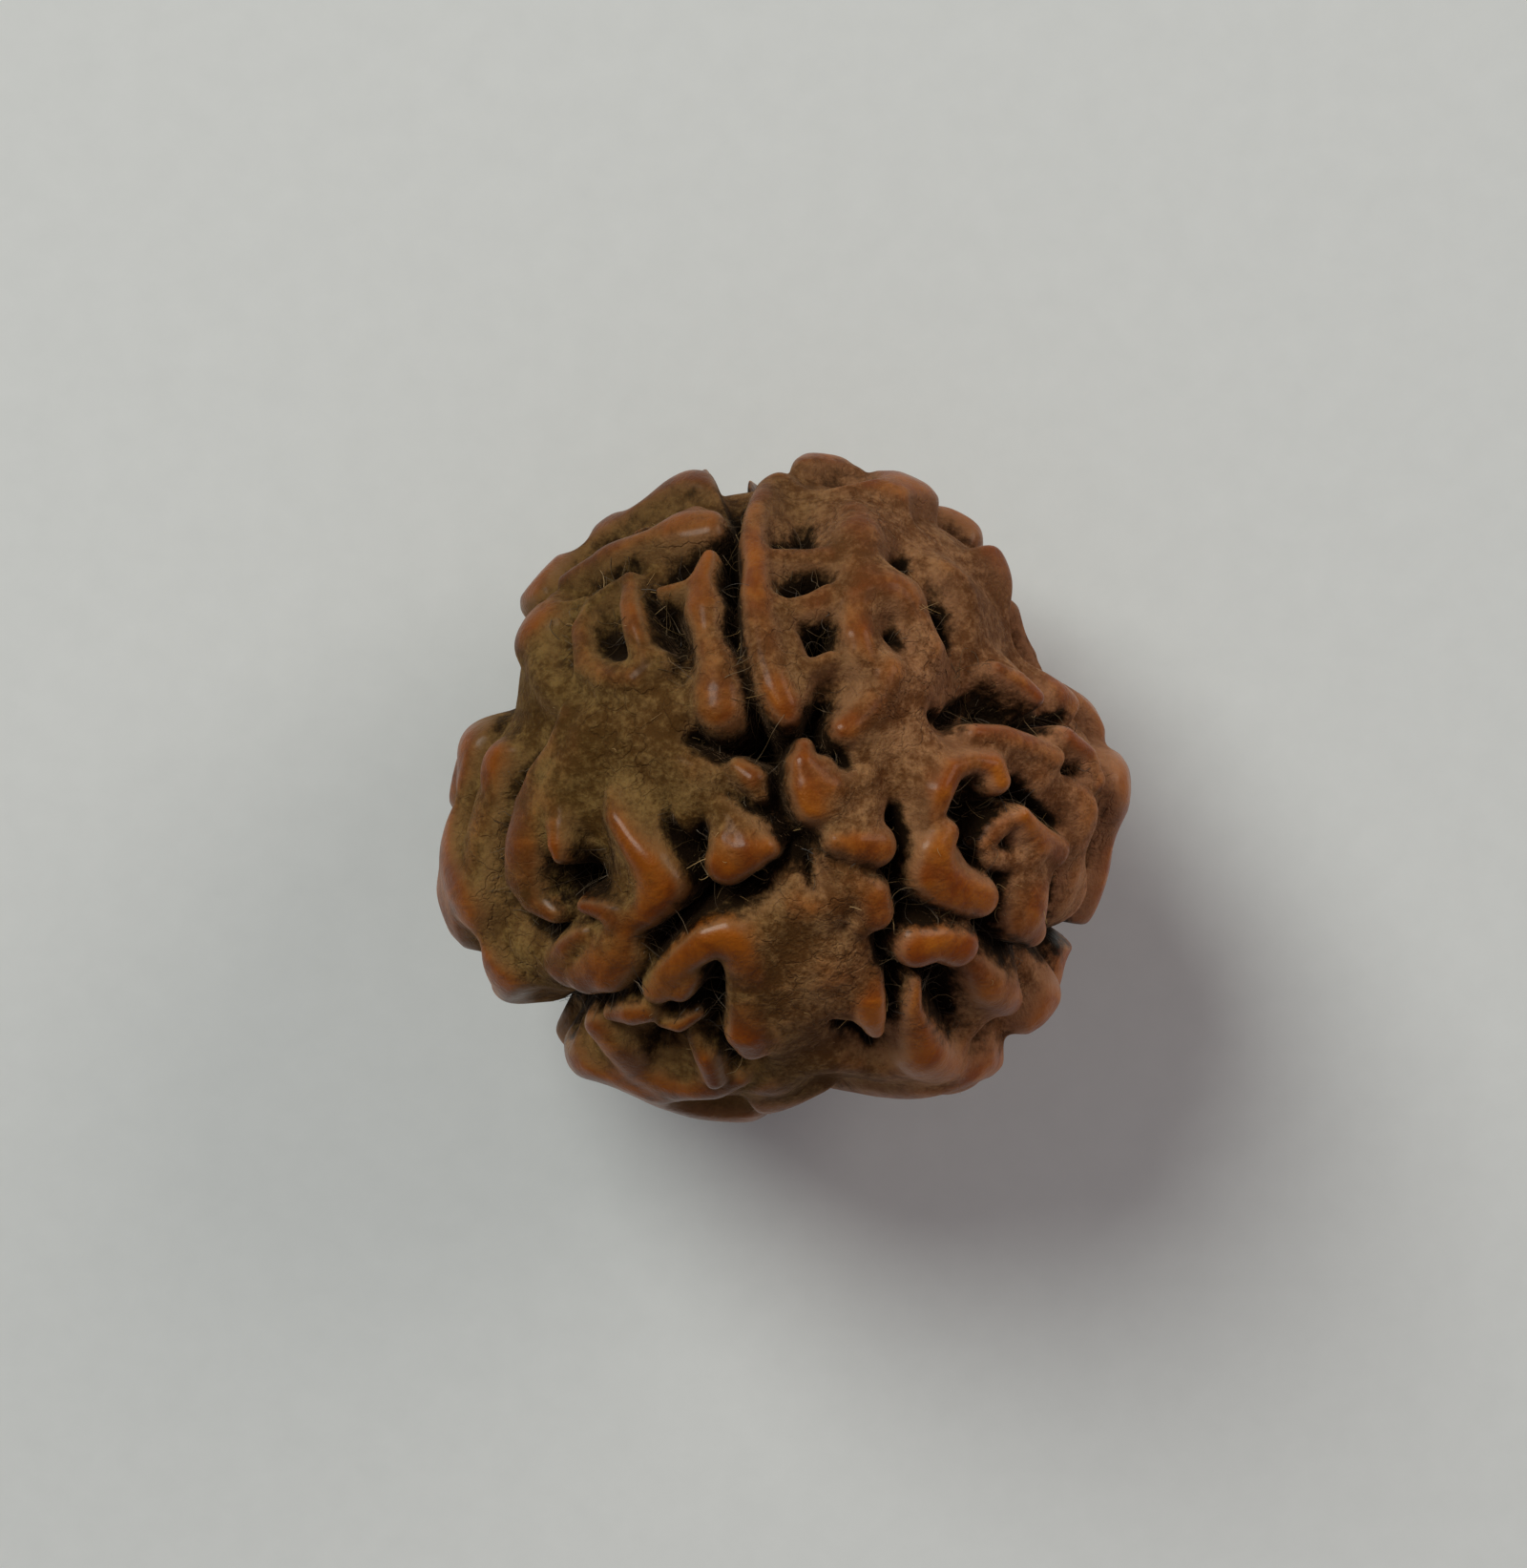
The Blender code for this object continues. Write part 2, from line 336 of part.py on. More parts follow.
def rim_radius(azimuth):
    """Half-width of the seed at each azimuth in degrees, eased from one named place to the next."""
    places = RIM + ((RIM[0][0] + 360, RIM[0][1]),)
    turned = np.mod(azimuth - RIM[0][0], 360.0) + RIM[0][0]
    radius = np.zeros_like(turned)
    for (low, first), (high, second) in zip(places, places[1:]):
        here = (turned >= low) & (turned <= high)
        radius[here] = first + (second - first) * smooth_step(low, high, turned[here])
    return radius


def body_radius(direction):
    azimuth = np.degrees(np.arctan2(direction[:, 1], direction[:, 0]))
    level = direction[:, 0] ** 2 + direction[:, 1] ** 2
    across = CROWN_RADIUS * (1.0 - level) + rim_radius(azimuth) * level
    return 1.0 / np.sqrt(level / across**2 + direction[:, 2] ** 2 / POLE_RADIUS**2)


def run_field(x, y, run, profile):
    """Best profile value along a run of points, for the places near it."""
    best = None
    ends = run if len(run) > 1 else run * 2
    for (x0, y0, level0, wide0), (x1, y1, level1, wide1) in zip(ends, ends[1:]):
        along = np.array((x1 - x0, y1 - y0))
        length = max(float(along @ along), TINY)
        share = np.clip(((x - x0) * along[0] + (y - y0) * along[1]) / length, 0.0, 1.0)
        away = np.hypot(x - x0 - share * along[0], y - y0 - share * along[1])
        ratio = away / (wide0 + (wide1 - wide0) * share)
        value = profile(ratio, level0 + (level1 - level0) * share)
        best = value if best is None else np.where(value > best, value, best)
    return best


def near_run(x, y, run, reach):
    spots = np.array(run)
    pad = reach * spots[:, 3].max()
    inside = (x > spots[:, 0].min() - pad) & (x < spots[:, 0].max() + pad)
    return np.nonzero(inside & (y > spots[:, 1].min() - pad) & (y < spots[:, 1].max() + pad))[0]


def apron_profile(ratio, crest):
    return crest - APRON_DROP - APRON_FALL * ratio**2


def shoulder_profile(ratio, crest):
    return crest - SHOULDER_DROP * (1.0 - np.exp(-((ratio / SHOULDER_SPREAD) ** SHOULDER_POWER)))


def top_profile(ratio, crest):
    return crest - TOP_LOWER - TOP_ROUNDING * ratio**2 - TOP_SIDE * ratio**6


def wall_profile(ratio, floor):
    return -floor - (WALL_HEIGHT - floor) * np.minimum(ratio, WALL_LIMIT) ** 3


def bowl_profile(ratio, floor):
    return -BOWL_SHARE * floor * np.exp(-((ratio / BOWL_SPREAD) ** 2))


def net_field(points):
    rng = np.random.default_rng(NET_SEED)
    turn = rng.normal(size=(NET_WAVES, 3))
    turn /= np.linalg.norm(turn, axis=1)[:, None]
    phase = rng.uniform(0.0, 2.0 * np.pi, NET_WAVES)
    total = np.zeros(len(points))
    for heading, start in zip(turn, phase):
        total += np.cos(points @ heading * (2.0 * np.pi / NET_WAVE) + start)
    return total * np.sqrt(2.0 / NET_WAVES)


def base_height(points, out):
    """Plateau of the crown, passing into the labyrinth net of the flank."""
    net = net_field(points)
    slow = net_field(points * SLOW_SCALE + SLOW_SHIFT)
    quick = net_field(points * QUICK_SCALE + QUICK_SHIFT)
    knotty = NET_FLOOR * (1.0 - smooth_step(GROOVE_LOW, GROOVE_HIGH, net))
    knotty -= TOP_DIP * (1.0 - smooth_step(TOP_LOW, TOP_HIGH, net))
    knotty *= NET_SHALLOW + (1.0 - NET_SHALLOW) * smooth_step(NET_DEEPER, NET_DEEP, out)
    share = smooth_step(NET_FROM, NET_FULL, out + NET_WAVER * slow)
    return (PLATEAU + SLOW_SWELL * slow + QUICK_SWELL * quick) * (1.0 - share) + knotty * share


def flank_cuts(height, azimuth, out, around):
    """Smooth valleys and deep clefts that run down the flank."""
    for middle, wide, depth in VALLEYS:
        off = np.radians(np.mod(azimuth - middle + 180.0, 360.0) - 180.0) * around
        height -= depth * np.exp(-((off / wide) ** 2)) * smooth_step(VALLEY_FROM, VALLEY_FULL, out)
    for middle, sway, wide, floor in CLEFTS:
        bend = sway * np.sin((out - VALLEY_FULL) * CLEFT_BEND)
        off = np.radians(np.mod(azimuth - middle - bend + 180.0, 360.0) - 180.0) * around
        value = -wall_profile(np.abs(off) / wide, floor)
        value += CLEFT_LIFT * (1.0 - smooth_step(CLEFT_FROM, CLEFT_FULL, out))
        value += CLEFT_LIFT * smooth_step(CLEFT_FADE, CLEFT_END, out)
        height = smooth_min(height, value, WALL_BLEND)
    return height


def raise_runs(height, x, y, profile, reach, blend):
    for run in RIDGES:
        here = near_run(x, y, run, reach)
        value = run_field(x[here], y[here], run, profile)
        height[here] = smooth_max(height[here], value, blend)


def sink_runs(height, x, y):
    for run in HOLLOWS:
        here = near_run(x, y, run, BOWL_REACH)
        height[here] -= run_field(x[here], y[here], run, bowl_profile)
    for run in HOLLOWS:
        here = near_run(x, y, run, WALL_REACH)
        value = -run_field(x[here], y[here], run, wall_profile)
        height[here] = smooth_min(height[here], value, WALL_BLEND)


def height_of(direction):
    """Height above the body, in millimetres, for each direction from the middle."""
    azimuth = np.degrees(np.arctan2(direction[:, 1], direction[:, 0]))
    out = MAP_RADIUS * np.arccos(np.clip(direction[:, 2], -1.0, 1.0))
    flat = np.hypot(direction[:, 0], direction[:, 1]) + TINY
    x = out * direction[:, 0] / flat
    y = out * direction[:, 1] / flat
    height = base_height(direction * body_radius(direction)[:, None], out)
    height = flank_cuts(height, azimuth, out, MAP_RADIUS * flat)
    raise_runs(height, x, y, apron_profile, APRON_REACH, APRON_BLEND)
    raise_runs(height, x, y, shoulder_profile, SHOULDER_REACH, SHOULDER_BLEND)
    sink_runs(height, x, y)
    raise_runs(height, x, y, top_profile, TOP_REACH, TOP_BLEND)
    return height


def seed_points(direction):
    """Surface of the seed in millimetres, with the middle at the origin."""
    reach = body_radius(direction) + height_of(direction)
    down = MAP_RADIUS * np.arccos(np.clip(-direction[:, 2], -1.0, 1.0))
    pad = SCAR_DEPTH / np.maximum(-direction[:, 2], LOWER_PART)
    share = smooth_step(SCAR_RADIUS + SCAR_EDGE, SCAR_RADIUS, down)
    reach = reach * (1.0 - share) + pad * share
    reach = np.where(direction[:, 2] < -LOWER_PART, np.minimum(reach, pad), reach)
    return direction * reach[:, None]


def clear_scene():
    for obj in list(bpy.data.objects):
        bpy.data.objects.remove(obj, do_unlink=True)


def wood_material():
    material = bpy.data.materials.new("seed_wood")
    material.use_nodes = True
    shader = material.node_tree.nodes["Principled BSDF"]
    shader.inputs["Base Color"].default_value = WOOD_COLOUR
    shader.inputs["Roughness"].default_value = WOOD_ROUGHNESS
    shader.inputs["Metallic"].default_value = 0.0
    return material


def shape_sphere(mesh):
    """Moves each point of a unit sphere out to the seed's surface."""
    flat = np.empty(len(mesh.vertices) * 3)
    mesh.vertices.foreach_get("co", flat)
    direction = flat.reshape(-1, 3)
    direction /= np.linalg.norm(direction, axis=1)[:, None]
    mesh.vertices.foreach_set("co", (seed_points(direction) * MM).ravel())
    mesh.update()


def add_rounding(obj):
    rounding = obj.modifiers.new("Rounding", "SMOOTH")
    rounding.factor = ROUNDING_FACTOR
    rounding.iterations = ROUNDING_PASSES
    fewer = obj.modifiers.new("Fewer faces", "DECIMATE")
    fewer.ratio = KEPT_TRIANGLES / FINE_TRIANGLES


def apply_modifiers(obj):
    graph = bpy.context.evaluated_depsgraph_get()
    finished = bpy.data.meshes.new_from_object(obj.evaluated_get(graph))
    obj.modifiers.clear()
    obj.data = finished


def stand_on_origin(mesh):
    """Moves the mesh so that the origin is under the middle of its box, at its lowest point."""
    flat = np.empty(len(mesh.vertices) * 3)
    mesh.vertices.foreach_get("co", flat)
    points = flat.reshape(-1, 3)
    low = points.min(axis=0)
    high = points.max(axis=0)
    points -= ((low[0] + high[0]) / 2, (low[1] + high[1]) / 2, low[2])
    mesh.vertices.foreach_set("co", points.ravel())
    mesh.update()


def build_seed(collection):
    bpy.ops.mesh.primitive_ico_sphere_add(subdivisions=SPHERE_STEPS, radius=1.0)
    seed = bpy.context.active_object
    seed.name = OBJECT_NAME
    for holder in list(seed.users_collection):
        holder.objects.unlink(seed)
    collection.objects.link(seed)
    shape_sphere(seed.data)
    add_rounding(seed)
    apply_modifiers(seed)
    stand_on_origin(seed.data)
    seed.data.materials.clear()
    seed.data.materials.append(wood_material())
    seed.data.shade_smooth()
    return seed


def main():
    clear_scene()
    collection = bpy.data.collections.new(OBJECT_NAME)
    bpy.context.scene.collection.children.link(collection)
    build_seed(collection)


main()
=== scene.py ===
"""Looks of the rudraksha seed: a finer mesh of the same form, its colours, fibres, light and camera.

The form's values and functions repeat those of the part's source, in millimetres. The seed is one
natural piece, so one finer mesh stands for its one node, and the fibres ride with it.
"""

import math

import bpy
import numpy as np
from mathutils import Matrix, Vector
from mathutils.bvhtree import BVHTree


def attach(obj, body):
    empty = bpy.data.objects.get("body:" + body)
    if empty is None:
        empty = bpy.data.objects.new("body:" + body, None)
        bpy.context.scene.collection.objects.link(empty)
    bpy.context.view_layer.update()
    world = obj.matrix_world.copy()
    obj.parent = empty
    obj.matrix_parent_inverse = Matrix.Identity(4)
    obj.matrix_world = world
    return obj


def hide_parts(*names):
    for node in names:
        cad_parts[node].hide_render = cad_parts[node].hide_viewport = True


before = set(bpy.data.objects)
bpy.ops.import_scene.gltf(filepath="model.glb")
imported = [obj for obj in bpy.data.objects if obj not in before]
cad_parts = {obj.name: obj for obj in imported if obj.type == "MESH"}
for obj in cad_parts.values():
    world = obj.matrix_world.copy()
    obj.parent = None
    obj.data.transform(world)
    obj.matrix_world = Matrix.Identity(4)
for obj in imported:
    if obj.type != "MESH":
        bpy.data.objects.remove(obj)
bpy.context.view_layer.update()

MM = 0.001
NODE = "rudraksha_seed"

# The finer mesh: steps that split the sphere's faces, the rounding of its edges, and the number of
# triangles kept.
SPHERE_STEPS = 8
ROUNDING_FACTOR = 0.5
ROUNDING_PASSES = 5
FINE_TRIANGLES = 20 * 4 ** (SPHERE_STEPS - 1)
KEPT_TRIANGLES = 190000

# All lengths here are millimetres. The crown is laid out flat, as on a map seen from above: x runs to
# the right and y away, both measured along the surface from the pole.
POLE_RADIUS = 10.8
CROWN_RADIUS = 10.9
MAP_RADIUS = 11.0
SCAR_DEPTH = 10.2
SCAR_RADIUS = 3.1
TINY = 1e-9

# Azimuth in degrees and half-width of the seed there.
RIM = (
    (2, 12.2), (33, 10.95), (55, 11.9), (75, 12.0), (98, 11.95), (122, 11.5), (148, 11.45),
    (172, 11.5), (198, 12.6), (225, 12.45), (245, 12.0), (262, 11.7), (282, 11.6), (303, 12.55),
    (322, 12.25), (338, 11.9), (350, 11.85),
)

# Smooth valleys between the lobes on the flank: azimuth, half-width and depth.
VALLEYS = (
    (159.5, 1.1, 2.0),
    (30, 2.4, 0.8),
    (280, 2.2, 0.8),
)

# The three deep clefts on the flank: azimuth, sway in degrees, half-width and floor.
CLEFTS = (
    (98.5, 0.8, 0.60, -3.6),
    (225.5, -3.5, 0.6, -3.4),
    (331.0, 4.0, 0.5, -2.8),
)

# Hollows, slots and pits of the crown: runs of (x, y, floor, half-width).
HOLLOWS = (
    # First cleft, from the pole up to the rim
    (
        (0.0, 0.1, -1.5, 0.26), (-0.75, 0.8, -1.5, 0.24), (-0.9, 1.8, -1.6, 0.26),
        (-1.0, 2.7, -2.8, 0.38), (-1.5, 3.5, -4.2, 0.80), (-1.8, 4.5, -4.2, 0.75),
        (-2.1, 5.5, -4.2, 0.70), (-2.35, 6.6, -4.2, 0.65), (-2.45, 7.5, -4.2, 0.60),
        (-2.45, 8.8, -3.8, 0.55), (-2.6, 10.0, -3.0, 0.60), (-2.75, 11.2, -3.0, 0.60),
        (-2.5, 12.4, -3.4, 0.55), (-2.2, 13.6, -3.6, 0.60), (-2.3, 15.4, -3.6, 0.75),
    ),
    # Dark pool beside the first cleft
    ((-1.6, 3.45, -4.2, 0.65), (-2.7, 3.45, -3.4, 0.45), (-3.6, 3.5, -2.2, 0.35), (-4.2, 3.5, -1.2, 0.30)),
    # Second cleft, down to the left
    (
        (-0.3, -0.35, -1.6, 0.26), (-1.0, -1.15, -2.0, 0.32), (-1.7, -1.75, -3.4, 0.50),
        (-2.6, -2.15, -3.0, 0.50), (-3.4, -2.4, -3.4, 0.55), (-4.3, -3.1, -4.0, 0.70),
        (-5.0, -3.9, -4.2, 0.75), (-5.5, -4.8, -4.0, 0.70), (-6.1, -5.8, -4.0, 0.65),
        (-6.9, -6.7, -3.8, 0.60), (-7.8, -7.4, -3.5, 0.65), (-8.9, -8.3, -3.4, 0.70),
        (-10.3, -9.8, -3.4, 0.75), (-11.7, -11.7, -3.4, 0.75),
    ),
    # Third cleft, down to the right
    (
        (0.3, -0.3, -1.5, 0.26), (1.0, -0.8, -1.5, 0.26), (1.9, -1.2, -2.0, 0.32),
        (2.8, -1.5, -3.4, 0.40), (3.4, -1.8, -4.2, 0.55), (3.7, -2.6, -4.2, 0.60),
        (4.5, -3.1, -3.6, 0.55), (5.5, -3.35, -3.0, 0.50), (6.3, -3.75, -3.2, 0.50),
        (7.1, -3.9, -3.8, 0.55), (7.9, -4.4, -3.2, 0.50), (8.7, -5.1, -2.6, 0.45),
        (9.6, -5.4, -2.6, 0.45), (10.8, -5.9, -2.6, 0.55), (12.6, -6.9, -2.6, 0.60),
        (14.2, -7.8, -2.6, 0.60),
    ),
    # Slot beside the third cleft, up and down
    (
        (3.5, 1.2, -1.1, 0.40), (3.5, 0.5, -1.9, 0.40), (3.5, -0.3, -3.2, 0.42),
        (3.5, -1.2, -4.2, 0.45), (3.45, -2.6, -3.8, 0.50), (3.45, -3.6, -3.4, 0.45),
        (3.35, -4.6, -2.4, 0.40), (3.35, -5.3, -1.7, 0.35),
    ),
    # Creases between the knobs at the pole
    ((0.25, -0.5, -1.5, 0.24), (0.35, -1.2, -1.4, 0.25), (0.45, -1.8, -1.1, 0.28)),
    ((-0.5, 0.3, -1.4, 0.22), (-1.2, 0.75, -1.4, 0.22), (-2.0, 1.15, -1.2, 0.20), (-2.9, 1.6, -0.9, 0.20)),
    ((0.35, 3.8, -2.6, 0.35), (0.8, 3.1, -2.4, 0.34), (1.3, 2.75, -2.0, 0.30), (1.8, 2.4, -1.1, 0.25)),
    ((0.2, 4.2, -2.8, 0.35), (0.7, 4.7, -2.2, 0.50), (1.2, 4.95, -1.5, 0.35)),
    ((-5.1, 1.0, -1.0, 0.30), (-4.9, 0.2, -1.4, 0.35), (-4.3, -0.6, -1.9, 0.35), (-3.7, -1.2, -2.4, 0.35),
     (-3.3, -1.9, -3.0, 0.40)),
    ((-3.65, 0.5, -1.0, 0.28), (-3.65, -0.3, -1.9, 0.30), (-3.6, -1.0, -2.4, 0.30)),
    # Pits of the upper lobe
    ((-0.6, 11.7, -1.8, 0.58), (0.2, 11.6, -2.2, 0.70), (0.5, 12.4, -2.2, 0.64), (0.5, 13.1, -1.8, 0.48)),
    ((-0.5, 9.3, -1.8, 0.54), (0.2, 9.4, -2.2, 0.54), (0.75, 9.55, -2.5, 0.54)),
    ((0.4, 7.1, -3.2, 0.48), (0.9, 7.45, -3.6, 0.54), (1.35, 7.9, -3.2, 0.36)),
    ((0.35, 6.55, -1.5, 0.44), (0.5, 6.9, -2.4, 0.42)),
    ((3.75, 7.55, -1.8, 0.30), (4.15, 7.3, -2.0, 0.36)),
    ((4.65, 10.95, -2.2, 0.58), (4.9, 11.6, -1.3, 0.70)),
    ((5.9, 9.9, -1.3, 0.38), (6.4, 9.0, -2.2, 0.54), (6.35, 8.1, -3.0, 0.62), (6.55, 7.3, -1.8, 0.54)),
    ((1.5, 5.6, -1.0, 0.36), (1.9, 5.75, -1.0, 0.36)),
    # Pits of the upper left lobe
    ((-5.0, 10.6, -2.4, 0.58), (-4.3, 10.85, -2.2, 0.58)),
    ((-6.0, 9.7, -1.6, 0.36), (-5.7, 9.0, -2.4, 0.50), (-5.35, 8.4, -2.6, 0.54), (-5.0, 7.8, -2.8, 0.54)),
    ((-7.25, 8.5, -1.4, 0.42), (-7.2, 7.8, -2.4, 0.50)),
    ((-7.9, 8.6, -1.0, 0.70), (-7.8, 7.4, -1.0, 0.70)),
    ((-4.5, 6.4, -1.2, 0.64), (-4.6, 5.8, -1.1, 0.54)),
    ((-9.9, 9.2, -0.85, 0.48), (-10.0, 8.0, -0.85, 0.48), (-9.6, 6.8, -0.8, 0.42)),
    ((-9.2, 10.2, -1.2, 0.48), (-8.2, 10.6, -1.3, 0.50), (-7.2, 11.0, -1.2, 0.48)),
    ((-11.2, 12.2, -1.3, 0.42), (-8.6, 12.9, -1.4, 0.42), (-6.3, 13.2, -1.4, 0.42),
     (-5.2, 13.9, -1.4, 0.42)),
    # Valley between the upper and the right lobe
    ((5.6, 4.5, -2.2, 0.30), (5.75, 4.1, -1.6, 0.28)),
    ((6.4, 4.3, -2.4, 0.50), (7.1, 4.75, -2.8, 0.70), (7.8, 5.2, -2.4, 0.70), (8.5, 5.5, -1.8, 0.55)),
    ((7.9, 4.5, -2.2, 0.45), (8.8, 4.7, -2.4, 0.55), (9.5, 4.5, -2.0, 0.50)),
    ((10.4, 3.9, -2.4, 0.50), (11.2, 4.05, -2.8, 0.60), (12.3, 4.1, -2.4, 0.55), (13.6, 4.2, -2.0, 0.50)),
    ((6.6, 5.9, -1.2, 0.50), (7.4, 6.6, -1.3, 0.60), (8.4, 7.0, -1.3, 0.50)),
    # Pits of the right lobe
    ((6.1, 0.9, -1.8, 0.54), (6.3, 1.5, -1.5, 0.54), (6.9, 1.5, -1.2, 0.36)),
    ((5.8, 0.45, -2.0, 0.42), (6.7, 0.4, -2.6, 0.48), (7.5, 0.75, -2.8, 0.42), (8.3, 1.05, -3.2, 0.48),
     (8.9, 1.3, -2.4, 0.58), (9.5, 0.55, -2.2, 0.54), (10.2, -0.05, -2.2, 0.48), (10.9, -0.4, -1.6, 0.48)),
    ((7.95, -0.8, -2.4, 0.40), (8.3, -0.75, -1.8, 0.30)),
    ((6.55, -0.4, -1.6, 0.44), (7.1, -1.3, -2.4, 0.48), (7.8, -1.9, -2.8, 0.54)),
    ((7.8, -2.4, -2.2, 0.42), (8.0, -3.1, -1.8, 0.42), (8.0, -3.8, -1.6, 0.42)),
    ((11.9, 1.9, -1.6, 0.34), (12.7, 1.7, -1.6, 0.30)),
    ((11.6, -2.6, -1.4, 0.36), (11.3, -3.8, -2.0, 0.48), (10.9, -5.0, -2.6, 0.48)),
    # Pits below the third cleft
    ((5.2, -5.9, -3.0, 0.58), (5.7, -6.4, -3.6, 0.64), (6.1, -7.4, -2.8, 0.50), (6.5, -8.3, -2.2, 0.42),
     (6.8, -9.0, -1.4, 0.36)),
    ((3.9, -5.8, -2.6, 0.40), (3.9, -6.6, -3.0, 0.50), (3.8, -7.5, -2.2, 0.40)),
    ((10.3, -6.9, -1.2, 0.36), (10.2, -8.2, -1.3, 0.38), (9.4, -9.4, -1.3, 0.38),
     (8.3, -10.2, -1.3, 0.36)),
    # Pits of the left lobe
    ((-9.8, -2.6, -2.6, 0.55), (-9.2, -2.5, -3.6, 0.75), (-8.5, -2.6, -2.8, 0.62)),
    ((-8.3, -0.8, -1.3, 0.70), (-8.2, -1.5, -1.6, 0.70)),
    ((-10.4, 3.9, -1.4, 0.48), (-11.0, 2.8, -1.6, 0.54), (-12.0, 1.5, -2.6, 0.64),
     (-12.5, 0.6, -2.4, 0.58),
     (-12.6, -0.6, -1.6, 0.48), (-12.7, -2.0, -1.5, 0.42), (-12.6, -3.4, -1.6, 0.42),
     (-11.6, -4.4, -2.0, 0.50),
     (-10.3, -4.65, -2.4, 0.54), (-9.4, -4.6, -2.2, 0.48)),
    # Pits of the lower lobe
    ((-3.3, -5.7, -2.2, 0.54), (-2.9, -6.2, -2.6, 0.58), (-3.2, -7.2, -2.6, 0.74),
     (-3.3, -8.0, -2.2, 0.58)),
    ((-5.8, -7.2, -1.5, 0.26), (-4.7, -7.25, -1.8, 0.30), (-3.9, -7.2, -2.0, 0.36)),
    ((-4.65, -9.1, -3.2, 0.66), (-5.3, -9.5, -3.0, 0.68), (-5.8, -10.2, -2.0, 0.52)),
    ((-2.5, -9.3, -2.4, 0.40), (-2.35, -10.2, -2.8, 0.46), (-2.35, -11.0, -2.2, 0.42)),
    ((-1.9, -9.8, -2.2, 0.34),),
    ((1.6, -8.2, -1.4, 0.36), (2.4, -8.6, -2.2, 0.48), (3.2, -9.1, -2.8, 0.58), (3.6, -9.7, -2.2, 0.48)),
    ((1.6, -3.5, -0.95, 0.42),),
)

